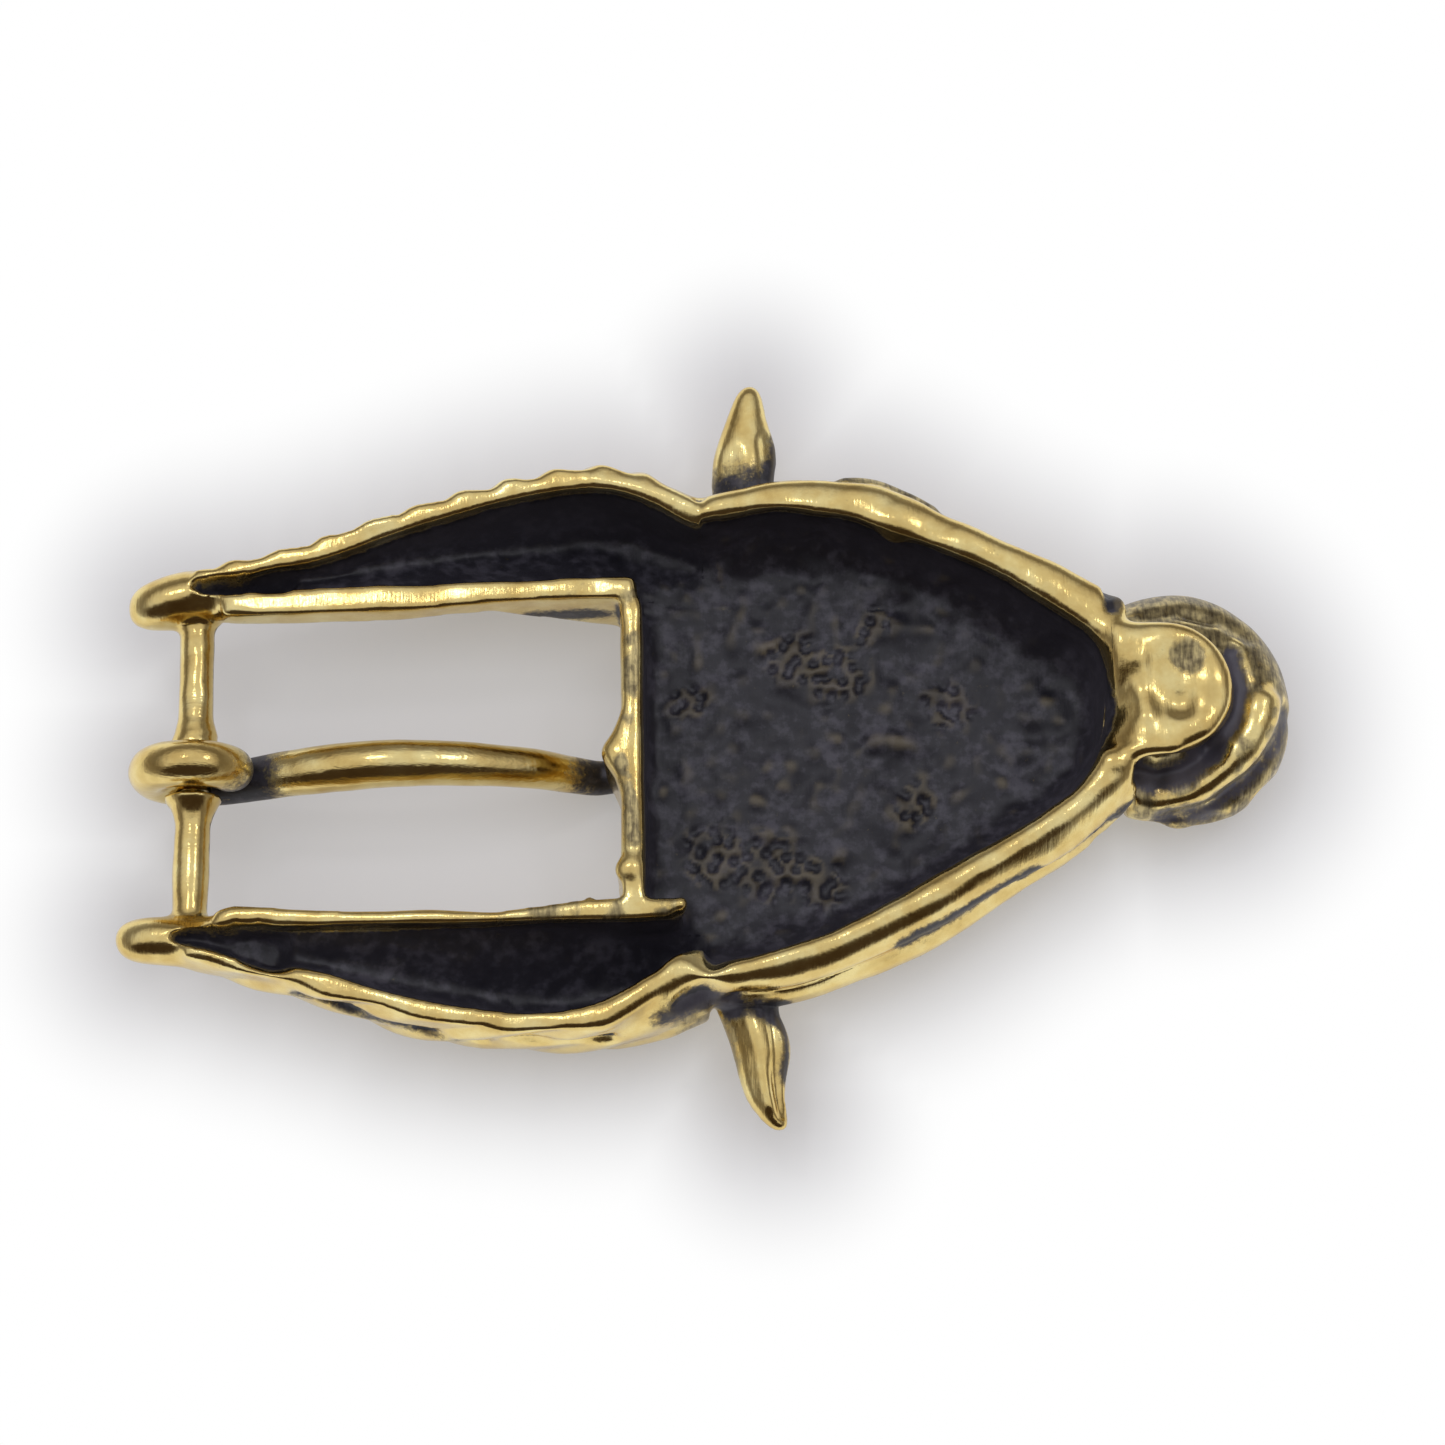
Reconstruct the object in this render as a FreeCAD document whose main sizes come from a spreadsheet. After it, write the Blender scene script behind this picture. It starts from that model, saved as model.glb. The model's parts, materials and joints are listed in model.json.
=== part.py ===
import FreeCAD, Part
import math
import os
import Sketcher

# Bronze belt buckle in the form of a horned goat's head, lying face down with its open back up.
# +X runs from the horn tips to the muzzle, +Y is up in the photograph, +Z is the buckle's back.
# The origin is under the middle of the buckle, on the surface that its face rests on.

os.makedirs("parts", exist_ok=True)
doc = FreeCAD.newDocument("buckle")
V = FreeCAD.Vector
AXIS_X, AXIS_Y, AXIS_Z = V(1, 0, 0), V(0, 1, 0), V(0, 0, 1)

# Driving dimensions in millimetres.
DIMENSIONS = [
    ("buckle_length", 107.2),       # horn tips to muzzle
    ("rim_height", 15.0),           # face to the plane of the filed rims
    ("casting_wall", 1.9),          # wall of the hollow casting
    ("rail_depth", 3.2),            # filed strips beside the strap slot
    ("web_depth", 6.0),             # how much deeper they are beside the head
    ("cross_bar_width", 2.0),
    ("bar_radius", 1.6),            # hinge bar
    ("bar_height", 11.0),           # its axis above the face
    ("socket_depth", 1.3),          # how far the bar is let into each horn tip
    ("wire_radius", 2.1),           # rod that the tongue is bent from
    ("eye_clearance", 0.06),        # running fit of the eye on the bar
    ("side_clearance", 0.08),       # end float between the eye and each collar
    ("tongue_gap", 0.2),            # tongue to the edge it rests under
    ("collar_length", 2.4),
    ("chin_thickness", 2.8),
    ("chin_radius", 6.2),
    ("edge_round", 0.5),            # worn edges
    ("overlap", 1.0),               # how far a cutting shape runs past what it cuts
]
# Worked out from them in the sheet.
DERIVED = [
    ("web_top", "=rim_height - rail_depth"),
    ("web_low", "=rim_height - rail_depth - web_depth"),
]
sheet = doc.addObject("Spreadsheet::Sheet", "Sizes")
for row, (alias, size) in enumerate(DIMENSIONS + DERIVED, start=1):
    sheet.set("A%d" % row, alias)
    sheet.set("B%d" % row, str(size))
    sheet.setAlias("B%d" % row, alias)
doc.recompute()


def size_of(alias):
    return float(getattr(sheet, alias))


LENGTH = size_of("buckle_length")
RIM = size_of("rim_height")
WALL = size_of("casting_wall")
BAR_RADIUS = size_of("bar_radius")
BAR_HEIGHT = size_of("bar_height")
WIRE = size_of("wire_radius")
ROUND = size_of("edge_round")
OVERLAP = size_of("overlap")
CHIN_THICKNESS = size_of("chin_thickness")

# Where the pieces meet, as shares of the buckle's length along X and across Y.
BAR_X_SHARE = -0.4385
EYE_Y_SHARE = -0.0215
HORN_ROOT_SHARE = -0.005
RAIL_START_SHARE = -0.415
CROSS_FACE_SHARE = -0.0565
MUZZLE_FACE_SHARE = 0.355
UPPER_RAIL_END_SHARE = -0.061
LOWER_RAIL_END_SHARE = -0.022
BAR_X = BAR_X_SHARE * LENGTH
EYE_Y = EYE_Y_SHARE * LENGTH
HORN_ROOT = HORN_ROOT_SHARE * LENGTH
RAIL_START = RAIL_START_SHARE * LENGTH
CROSS_FACE = CROSS_FACE_SHARE * LENGTH
MUZZLE_FACE = MUZZLE_FACE_SHARE * LENGTH

# The straight line on which each side rail's outer face meets its horn: Y at the rail's start and
# at the horn's root.
UPPER_SEAM_SHARES = (0.1290, 0.1390)
LOWER_SEAM_SHARES = (-0.1640, -0.1610)


def seam_y(shares, x):
    along = (x - RAIL_START) / (HORN_ROOT - RAIL_START)
    return (shares[0] + (shares[1] - shares[0]) * along) * LENGTH


def closed_curve(points):
    curve = Part.BSplineCurve()
    curve.interpolate(Points=points, PeriodicFlag=True)
    return Part.Wire([curve.toShape()])


def box(x0, x1, y0, y1, z0, z1):
    return Part.makeBox(x1 - x0, y1 - y0, z1 - z0, V(x0, y0, z0))


def loose_shape(name, shape):
    feature = doc.addObject("Part::Feature", name)
    feature.Label = name
    feature.Shape = shape
    feature.Placement = FreeCAD.Placement(V(0, 0, 0), FreeCAD.Rotation())
    return feature


# Head: a boat-shaped shell. Its outlines in plan are stacked from the rim down to the face, each
# as stations along X with the share of the length out to the upper and to the lower side.
OUTSIDE_STATION_SHARES = (-0.11, -0.01, 0.056, 0.112, 0.168, 0.224, 0.280, 0.340)
HOLLOW_STATION_SHARES = (-0.11, -0.01, 0.056, 0.112, 0.168, 0.224, 0.280, 0.318)
HEAD_NOSE_Y_SHARE = 0.030


def plan_wire(station_shares, height, upper_shares, nose_share, lower_shares):
    # counterclockwise from the upper side, over the cut-off left end, to the lower side and the nose
    left = station_shares[0]
    upper = list(zip(station_shares, upper_shares))
    lower = list(zip(station_shares, lower_shares))
    end = [(left - 0.020, upper_shares[0] / 2), (left - 0.025, 0.0), (left - 0.020, lower_shares[0] / 2)]
    outline = upper[::-1] + end + lower + [(nose_share, HEAD_NOSE_Y_SHARE)]
    return closed_curve([V(x * LENGTH, y * LENGTH, height) for x, y in outline])


HEAD_OUTSIDE_SHARES = [
    # height as a share of the rim's, upper side, nose, lower side
    (1.00, (0.200, 0.203, 0.219, 0.219, 0.205, 0.176, 0.150, 0.118), 0.384,
     (-0.208, -0.213, -0.212, -0.196, -0.168, -0.135, -0.107, -0.056)),
    (0.60, (0.200, 0.211, 0.225, 0.228, 0.216, 0.184, 0.151, 0.117), 0.386,
     (-0.208, -0.222, -0.222, -0.206, -0.184, -0.152, -0.115, -0.074)),
    (0.30, (0.180, 0.190, 0.200, 0.206, 0.194, 0.161, 0.129, 0.102), 0.384,
     (-0.192, -0.200, -0.194, -0.180, -0.156, -0.120, -0.080, -0.048)),
    (0.10, (0.100, 0.110, 0.120, 0.124, 0.110, 0.088, 0.080, 0.080), 0.380,
     (-0.118, -0.122, -0.116, -0.104, -0.080, -0.050, -0.032, -0.022)),
]
HEAD_HOLLOW_SHARES = [
    (1.00, (0.183, 0.184, 0.190, 0.183, 0.163, 0.141, 0.110, 0.084), 0.337,
     (-0.197, -0.198, -0.182, -0.161, -0.131, -0.101, -0.071, -0.034)),
    (0.62, (0.179, 0.182, 0.190, 0.185, 0.166, 0.141, 0.107, 0.080), 0.333,
     (-0.190, -0.192, -0.182, -0.162, -0.134, -0.101, -0.068, -0.030)),
    (0.42, (0.150, 0.155, 0.165, 0.162, 0.145, 0.118, 0.086, 0.060), 0.322,
     (-0.165, -0.168, -0.158, -0.140, -0.112, -0.080, -0.046, -0.008)),
]


def forehead_rest():
    # the dimple in the forehead's front that the tongue's tip lies in
    reach_share, y_share, top_share = 0.094, -0.005, 0.345
    reach = reach_share * LENGTH
    centre = V(CROSS_FACE - size_of("cross_bar_width"), y_share * LENGTH, top_share * RIM - reach)
    return Part.makeSphere(reach, centre)


def head_outside():
    return Part.makeLoft([plan_wire(OUTSIDE_STATION_SHARES, height * RIM, upper, nose, lower)
                          for height, upper, nose, lower in HEAD_OUTSIDE_SHARES], True, False)


def face_shell(let_in):
    levels = [plan_wire(HOLLOW_STATION_SHARES, RIM + OVERLAP, *HEAD_HOLLOW_SHARES[0][1:])]
    levels += [plan_wire(HOLLOW_STATION_SHARES, height * RIM, upper, nose, lower)
               for height, upper, nose, lower in HEAD_HOLLOW_SHARES[1:]]
    shell = head_outside().cut(Part.makeLoft(levels, True, False))
    # it is cut off at the cross bar, at both horns' roots and at the muzzle
    side = LENGTH / 2
    upper = [V(x, seam_y(UPPER_SEAM_SHARES, x), 0) for x in (CROSS_FACE, HORN_ROOT)]
    lower = [V(x, seam_y(LOWER_SEAM_SHARES, x), 0) for x in (HORN_ROOT, CROSS_FACE)]
    outline = upper + [V(HORN_ROOT, side, 0), V(MUZZLE_FACE, side, 0), V(MUZZLE_FACE, -side, 0),
                       V(HORN_ROOT, -side, 0)] + lower
    field = Part.Face(Part.makePolygon(outline + outline[:1])).extrude(AXIS_Z * (RIM + OVERLAP))
    shell = shell.common(field).cut(forehead_rest())
    # the rails' ends and the chin pad are let into it
    for piece in let_in:
        shell = shell.cut(piece)
    return max(shell.Solids, key=lambda solid: solid.Volume)


# Horns: each an open channel lofted from sections across it, with a solid tip. A station gives the
# share of the length along X, the lip's share out, the bulge below the lip, then shares of the rim's
# height: the face at the seam, the face at the crest, and the channel's floor at its deepest.
UPPER_HORN_SHARES = [
    (-0.440, 0.152, 0.000, 0.78, 0.56, 0.99),
    (-0.400, 0.157, 0.002, 0.78, 0.50, 0.88),
    (-0.340, 0.171, 0.004, 0.77, 0.42, 0.78),
    (-0.270, 0.194, 0.005, 0.75, 0.31, 0.66),
    (-0.190, 0.218, 0.006, 0.70, 0.20, 0.48),
    (-0.125, 0.232, 0.008, 0.60, 0.13, 0.36),
    (-0.075, 0.232, 0.012, 0.42, 0.11, 0.32),
    (-0.038, 0.218, 0.015, 0.32, 0.12, 0.32),
    (0.010, 0.200, 0.016, 0.30, 0.13, 0.34),
]
LOWER_HORN_SHARES = [
    (-0.440, -0.190, 0.000, 0.78, 0.56, 0.99),
    (-0.400, -0.198, -0.002, 0.78, 0.50, 0.88),
    (-0.340, -0.214, -0.004, 0.77, 0.42, 0.78),
    (-0.270, -0.234, -0.006, 0.75, 0.31, 0.66),
    (-0.190, -0.251, -0.005, 0.70, 0.20, 0.48),
    (-0.125, -0.254, -0.005, 0.60, 0.13, 0.36),
    (-0.075, -0.242, -0.013, 0.42, 0.11, 0.32),
    (-0.038, -0.220, -0.027, 0.32, 0.12, 0.32),
    (0.010, -0.206, -0.020, 0.30, 0.13, 0.34),
]
# Solid tips: X, Y and half size across as shares of the length, Z and half size up as shares of the
# rim's height.
UPPER_TIP_SHARES = [
    (-0.4985, 0.123, 0.758, 0.004, 0.029),
    (-0.494, 0.124, 0.765, 0.014, 0.100),
    (-0.480, 0.126, 0.779, 0.021, 0.164),
    (-0.455, 0.130, 0.786, 0.024, 0.193),
    (-0.415, 0.132, 0.786, 0.022, 0.193),
]
LOWER_TIP_SHARES = [
    (-0.5000, -0.165, 0.758, 0.004, 0.029),
    (-0.496, -0.166, 0.765, 0.012, 0.093),
    (-0.482, -0.167, 0.779, 0.019, 0.150),
    (-0.455, -0.168, 0.786, 0.021, 0.179),
    (-0.415, -0.169, 0.786, 0.021, 0.186),
]
# How the section's face runs from the seam to the lip: places across, then how far it has dropped
# to the crest or risen from it again.
FACE_ACROSS_SHARES = (0.30, 0.62, 0.90)
FACE_DROP_SHARE = 0.75
FACE_RISE_SHARES = (0.16, 0.50)


def horn_section(x_share, lip_share, bulge_share, seam_height, crest_height, seam_shares):
    x, y_lip, bulge = x_share * LENGTH, lip_share * LENGTH, bulge_share * LENGTH
    y_seam = seam_y(seam_shares, x)
    z_seam, z_crest = seam_height * RIM, crest_height * RIM
    width, depth = y_lip - y_seam, RIM - z_crest
    near, middle, far = FACE_ACROSS_SHARES
    low_rise, high_rise = FACE_RISE_SHARES
    face_points = ((0, z_seam), (near, z_seam - FACE_DROP_SHARE * (z_seam - z_crest)), (middle, z_crest),
                   (far, z_crest + low_rise * depth), (1, z_crest + high_rise * depth))
    points = [V(x, y_seam + share * width + share * share * bulge, z) for share, z in face_points]
    points.append(V(x, y_lip, RIM))
    face = Part.BSplineCurve()
    face.interpolate(points)
    corner = V(x, y_seam, RIM)
    return Part.Wire([face.toShape(), Part.makeLine(points[-1], corner), Part.makeLine(corner, points[0])])


def channel_section(x_share, lip_share, seam_height, floor_height, seam_shares, outward):
    x = x_share * LENGTH
    y_seam = seam_y(seam_shares, x)
    y_lip = lip_share * LENGTH - outward * WALL
    top = RIM + OVERLAP
    z_floor = floor_height * RIM
    z_seam = min(seam_height * RIM + WALL, RIM - ROUND)
    z_seam = max(z_seam, z_floor)
    width = y_lip - y_seam
    slope_share, wall_share = 0.45, 0.96
    points = [V(x, y_seam - outward * OVERLAP, z_seam),
              V(x, y_seam + slope_share * width, z_floor + (z_seam - z_floor) * (1 - slope_share) / 2),
              V(x, y_seam + (slope_share + wall_share) / 2 * width, z_floor),
              V(x, y_seam + wall_share * width, z_floor + (RIM - z_floor) * slope_share),
              V(x, y_lip, top)]
    floor = Part.BSplineCurve()
    floor.interpolate(points)
    corner = V(x, y_seam - outward * OVERLAP, top)
    return Part.Wire([floor.toShape(), Part.makeLine(points[-1], corner), Part.makeLine(corner, points[0])])


OVAL_POINTS = 8


def oval(x_share, y_share, height_share, across_share, up_share):
    # an oval that stands across the length
    angles = [2 * math.pi * step / OVAL_POINTS for step in range(OVAL_POINTS)]
    return closed_curve([V(x_share * LENGTH, (y_share + across_share * math.cos(angle)) * LENGTH,
                           (height_share + up_share * math.sin(angle)) * RIM) for angle in angles])


def horn(stations, tip_stations, seam_shares, outward, bar_end):
    body = Part.makeLoft([horn_section(x, lip, bulge, seam, crest, seam_shares)
                          for x, lip, bulge, seam, crest, floor in stations], True, False)
    channel = Part.makeLoft([channel_section(x, lip, seam, floor, seam_shares, outward)
                             for x, lip, bulge, seam, crest, floor in stations[1:]], True, False)
    tip = Part.makeLoft([oval(*station) for station in tip_stations], True, False)
    body = body.fuse(tip).cut(channel)
    body = body.common(box(-LENGTH, HORN_ROOT, -LENGTH, LENGTH, 0, RIM)).removeSplitter()
    # the rail takes the place of everything on the slot's side of the seam
    edge = [V(x, seam_y(seam_shares, x), 0) for x in (RAIL_START, HORN_ROOT)]
    inner = [V(edge[1].x + OVERLAP, edge[1].y, 0), V(edge[1].x + OVERLAP, 0, 0), V(edge[0].x, 0, 0)]
    strip = Part.Face(Part.makePolygon(edge + inner + edge[:1])).extrude(AXIS_Z * (RIM + OVERLAP))
    socket = Part.makeCylinder(BAR_RADIUS, outward * (bar_end - EYE_Y), V(BAR_X, EYE_Y, BAR_HEIGHT),
                               AXIS_Y * outward)
    return body.cut(strip).cut(socket)


UPPER_TIP_SIDE_SHARE, LOWER_TIP_SIDE_SHARE = 0.108, -0.149
UPPER_BAR_END = UPPER_TIP_SIDE_SHARE * LENGTH + size_of("socket_depth")
LOWER_BAR_END = LOWER_TIP_SIDE_SHARE * LENGTH - size_of("socket_depth")


# Side rails: filed strips, padded down from the rim plane, with an end that runs past the cross bar.
def new_body(name):
    body = doc.addObject("PartDesign::Body", name)
    body.Label = name
    return body


def origin_plane(body, role):
    return [f for f in body.Origin.OriginFeatures if f.Role == role][0]


def share_sketch(body, name, role, offset, points):
    # a closed outline of straight edges; each corner is bound to the sheet as alias times share
    sketch = body.newObject("Sketcher::SketchObject", name)
    sketch.AttachmentSupport = [(origin_plane(body, role), "")]
    sketch.MapMode = "FlatFace"
    if offset:
        sketch.setExpression("AttachmentOffset.Base.z", offset)
    corners = [[(alias, share, size_of(alias) * share) for alias, share in point] for point in points]
    count = len(corners)
    for i in range(count):
        (_, _, x0), (_, _, y0) = corners[i]
        (_, _, x1), (_, _, y1) = corners[(i + 1) % count]
        sketch.addGeometry(Part.LineSegment(V(x0, y0, 0), V(x1, y1, 0)), False)
    for i in range(count):
        sketch.addConstraint(Sketcher.Constraint("Coincident", i, 2, (i + 1) % count, 1))
    for i, corner in enumerate(corners):
        for kind, (alias, share, size) in zip(("DistanceX", "DistanceY"), corner):
            index = sketch.addConstraint(Sketcher.Constraint(kind, -1, 1, i, 1, size))
            sketch.setExpression("Constraints[%d]" % index, "Sizes.%s * %s" % (alias, share))
    return sketch


def padded(body, sketch, role, depth_expression):
    pad = body.newObject("PartDesign::Pad", "%s_%s" % (body.Label, role))
    pad.Profile = sketch
    pad.setExpression("Length", depth_expression)
    pad.Reversed = True
    doc.recompute()


def plan_corner(x_share, y_share):
    return ("buckle_length", x_share), ("buckle_length", y_share)


# The web under a rail: where it starts and where its sloping underside ends.
WEB_START_SHARE = -0.190
WEB_SLOPE_END_SHARE = -0.070
UPPER_RAIL_SHARES = [(-0.415, 0.106), (-0.250, 0.109), (-0.180, 0.1145), (-0.115, 0.117), (-0.061, 0.117)]
LOWER_RAIL_SHARES = [(-0.415, -0.147), (-0.330, -0.1535), (-0.180, -0.1545), (-0.115, -0.1455),
                     (-0.022, -0.1430)]


def inner_share(shares, x_share):
    # where a rail's edge beside the slot lies at a given place along the buckle
    for (x0, y0), (x1, y1) in zip(shares, shares[1:]):
        if x0 <= x_share <= x1:
            return y0 + (y1 - y0) * (x_share - x0) / (x1 - x0)


def rail(name, seam_shares, inner_shares, end_share):
    body = new_body(name)

    def seam_corner(x_share):
        return plan_corner(x_share, seam_y(seam_shares, x_share * LENGTH) / LENGTH)

    outline = [plan_corner(x, y) for x, y in inner_shares]
    outline += [seam_corner(end_share), seam_corner(RAIL_START_SHARE)]
    top = share_sketch(body, name + "_outline", "XY_Plane", "Sizes.rim_height", outline)
    padded(body, top, "pad", "Sizes.rail_depth")
    # the rail deepens into a wall where it nears the head
    deep_shares = [(WEB_START_SHARE, inner_share(inner_shares, WEB_START_SHARE))]
    deep_shares += [(x, y) for x, y in inner_shares if x > WEB_START_SHARE]
    web = [plan_corner(x, y) for x, y in deep_shares] + [seam_corner(end_share), seam_corner(WEB_START_SHARE)]
    lower = share_sketch(body, name + "_web_outline", "XY_Plane", "Sizes.web_top", web)
    padded(body, lower, "web", "Sizes.web_depth")
    slope = [(("buckle_length", x), (height, 1)) for x, height in
             ((WEB_START_SHARE, "web_top"), (WEB_SLOPE_END_SHARE, "web_low"), (WEB_START_SHARE, "web_low"))]
    under = body.newObject("PartDesign::Pocket", name + "_slope")
    under.Profile = share_sketch(body, name + "_slope_outline", "XZ_Plane", None, slope)
    under.Type = "ThroughAll"
    under.Midplane = True
    doc.recompute()
    return body


# Cross bar: the wall at the head end of the slot, swollen where the tongue lies under it and by a
# bead near its lower end. Each place is the share out towards the slot and the share across.
SWELLING_SHARES = ((0.000, 0.117), (0.000, 0.020), (0.006, 0.006), (0.016, -0.016), (0.006, -0.038),
                   (0.000, -0.054), (0.000, -0.110), (0.006, -0.120), (0.000, -0.128))
CROSS_DEPTH_SHARE = 0.7
CROSS_UNDERSIDE = (1 - CROSS_DEPTH_SHARE) * RIM


def cross_bar():
    body = new_body("cross_bar")
    face = CROSS_FACE_SHARE
    back = face - size_of("cross_bar_width") / LENGTH
    outline = [plan_corner(face, SWELLING_SHARES[0][1])]
    outline += [plan_corner(back - out, across) for out, across in SWELLING_SHARES]
    outline += [plan_corner(x, inner_share(LOWER_RAIL_SHARES, x)) for x in (back, face)]
    sketch = share_sketch(body, "cross_bar_outline", "XY_Plane", "Sizes.rim_height", outline)
    padded(body, sketch, "pad", "Sizes.rim_height * %s" % CROSS_DEPTH_SHARE)
    return body


# Hinge bar and its collars: turned shapes about the bar's own axis.
def turned(name, points):
    body = new_body(name)
    body.Placement = FreeCAD.Placement(V(BAR_X, 0, BAR_HEIGHT), FreeCAD.Rotation())
    body.setExpression("Placement.Base.x", "Sizes.buckle_length * %s" % BAR_X_SHARE)
    body.setExpression("Placement.Base.z", "Sizes.bar_height")
    sketch = share_sketch(body, name + "_profile", "XY_Plane", None, points)
    turn = body.newObject("PartDesign::Revolution", name + "_turn")
    turn.Profile = sketch
    turn.ReferenceAxis = (sketch, ["V_Axis"])
    turn.Angle = 360.0
    doc.recompute()
    return body


def hinge_bar():
    top, low = UPPER_BAR_END / LENGTH, LOWER_BAR_END / LENGTH
    points = [(("bar_radius", 0.0), ("buckle_length", low)), (("bar_radius", 1.0), ("buckle_length", low)),
              (("bar_radius", 1.0), ("buckle_length", top)), (("bar_radius", 0.0), ("buckle_length", top))]
    return turned("hinge_bar", points)


def collar(name, outward, flare_shares):
    # a ring round the bar: flared towards the eye, thin towards the strap
    near = (EYE_Y + outward * (WIRE + size_of("side_clearance"))) / LENGTH
    reach = outward * size_of("collar_length") / LENGTH
    points = [(("bar_radius", 1.0), ("buckle_length", near + run)) for run in (0, reach)]
    for radius_share, reach_share in flare_shares:
        points.append((("bar_radius", radius_share), ("buckle_length", near + reach * reach_share)))
    return turned(name, points)


UPPER_FLARE_SHARES = ((1.08, 1.0), (1.15, 0.7), (1.35, 0.3), (1.40, 0.0))
LOWER_FLARE_SHARES = ((1.06, 1.0), (1.18, 0.7), (1.45, 0.35), (1.70, 0.12), (1.65, 0.0))


# Tongue: one round rod. Its end is curled round the bar, and the shaft rises in a bow and dips
# under the cross bar to the forehead.
TONGUE_SHARES = [
    # share of the reach from the bar to the tip, share of the bow's height, share of the rod's radius
    (0.00, 0.00, 1.00),
    (0.09, 0.09, 0.97),
    (0.20, 0.54, 1.02),
    (0.33, 0.92, 1.05),
    (0.46, 1.00, 1.03),
    (0.60, 0.62, 0.95),
    (0.73, -0.05, 0.88),
    (0.80, -0.68, 0.82),
    (0.86, -1.16, 0.78),
]
RESTING_SHARES = ((0.90, 0.74), (0.95, 0.69), (1.00, 0.64))
TONGUE_REACH_SHARE = 0.392
BOW_SHARE = 0.26
TONGUE_SWAY_SHARE = 0.0125
CURL_END_DEGREES = 18
CURL_STEPS = 16
# How the rod's ends are rounded: places along the last radius, and the share of the rod left there.
ROUNDING_SHARES = ((0.45, 0.90), (0.75, 0.68), (0.92, 0.40), (0.99, 0.12))


def ring_across(point, tangent, radius):
    # a circle whose seam always lies on the +Y side, so that a loft through such rings isn't twisted
    circle = Part.makeCircle(radius)
    circle.Placement = FreeCAD.Placement(point, FreeCAD.Rotation(AXIS_Y, V(0, 0, 0), tangent, "ZXY"))
    return Part.Wire([circle])


def tongue():
    ring = BAR_RADIUS + size_of("eye_clearance") + WIRE
    centre = V(BAR_X, EYE_Y, BAR_HEIGHT)
    # the curl, from its free end down and round under the bar
    stations = []
    first, last = math.radians(CURL_END_DEGREES), math.radians(270)
    free_end = centre + V(ring * math.cos(first), 0, ring * math.sin(first))
    for run_share, radius_share in reversed(ROUNDING_SHARES):
        tangent = V(math.sin(first), 0, -math.cos(first))
        stations.append((free_end + tangent * run_share * WIRE, tangent, radius_share * WIRE))
    for step in range(CURL_STEPS):
        angle = first + (last - first) * step / CURL_STEPS
        outward = V(math.cos(angle), 0, math.sin(angle))
        stations.append((centre + outward * ring, V(math.sin(angle), 0, -math.cos(angle)), WIRE))
    # the shaft
    reach = TONGUE_REACH_SHARE * LENGTH
    low = BAR_HEIGHT - ring
    path = [V(BAR_X + share * reach, EYE_Y + share * TONGUE_SWAY_SHARE * LENGTH, low + rise * BOW_SHARE * RIM)
            for share, rise, _ in TONGUE_SHARES]
    radii = [share * WIRE for _, _, share in TONGUE_SHARES]
    # under the cross bar the rod runs a small gap below its edge
    for run_share, radius_share in RESTING_SHARES:
        radii.append(radius_share * WIRE)
        path.append(V(BAR_X + run_share * reach, EYE_Y + run_share * TONGUE_SWAY_SHARE * LENGTH,
                      CROSS_UNDERSIDE - size_of("tongue_gap") - radii[-1]))
    spine = Part.BSplineCurve()
    spine.interpolate(path, InitialTangent=AXIS_X, FinalTangent=AXIS_X)
    for point, radius in zip(path, radii):
        stations.append((point, spine.tangent(spine.parameter(point))[0] * -1, radius))
    for run_share, radius_share in ROUNDING_SHARES:
        stations.append((path[-1] + AXIS_X * run_share * radii[-1], AXIS_X * -1, radius_share * radii[-1]))
    return Part.makeLoft([ring_across(*station) for station in stations], True, False)


# Muzzle: a full, blunt form lofted through ovals that stand across the length.
MUZZLE_SHARES = [
    # X, Y, height, half sizes across and up, as shares like those of the horns' tips
    (0.355, 0.030, 0.457, 0.094, 0.400),
    (0.385, 0.032, 0.450, 0.101, 0.436),
    (0.425, 0.031, 0.443, 0.101, 0.443),
    (0.460, 0.029, 0.436, 0.084, 0.414),
    (0.485, 0.027, 0.429, 0.057, 0.315),
    (0.497, 0.027, 0.422, 0.030, 0.172),
    (0.500, 0.027, 0.422, 0.008, 0.050),
]


def muzzle(chin_blank):
    return Part.makeLoft([oval(*station) for station in MUZZLE_SHARES], True, False).cut(chin_blank)


# Chin pad: a round-ended plate that closes the rim, dished on its back.
CHIN_SHARES = (0.383, 0.030)        # its centre in plan
CHIN_NECK_SHARE = 0.340             # where it ends at the head hollow
CHIN_BED_SHARE = 0.868              # its underside, as a share of the rim's height
DISH_RADIUS_SHARE = 1.9             # of the pad's radius
DISH_DEPTH_SHARE = 1.4              # of the worn edge


def chin_plate():
    radius = size_of("chin_radius")
    centre = V(CHIN_SHARES[0] * LENGTH, CHIN_SHARES[1] * LENGTH, CHIN_BED_SHARE * RIM)
    neck = CHIN_NECK_SHARE * LENGTH
    low, high = centre.z, centre.z + CHIN_THICKNESS
    disc = Part.makeCylinder(radius, CHIN_THICKNESS, centre, AXIS_Z)
    disc = disc.fuse(box(neck, centre.x, centre.y - radius, centre.y + radius, low, high))
    field = box(neck, LENGTH, centre.y - LENGTH, centre.y + LENGTH, low, high)
    return disc.common(field).removeSplitter(), centre


def chin_pad():
    plate, centre = chin_plate()
    top = centre.z + CHIN_THICKNESS
    rounded = [edge for edge in plate.Edges if edge.BoundBox.ZMin > centre.z + CHIN_THICKNESS / 2]
    plate = plate.makeFillet(ROUND, rounded)
    dish_radius = size_of("chin_radius") * DISH_RADIUS_SHARE
    dish_depth = ROUND * DISH_DEPTH_SHARE
    dish = Part.makeSphere(dish_radius, V(centre.x - ROUND, centre.y, top - dish_depth + dish_radius))
    return plate.cut(dish)


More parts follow.
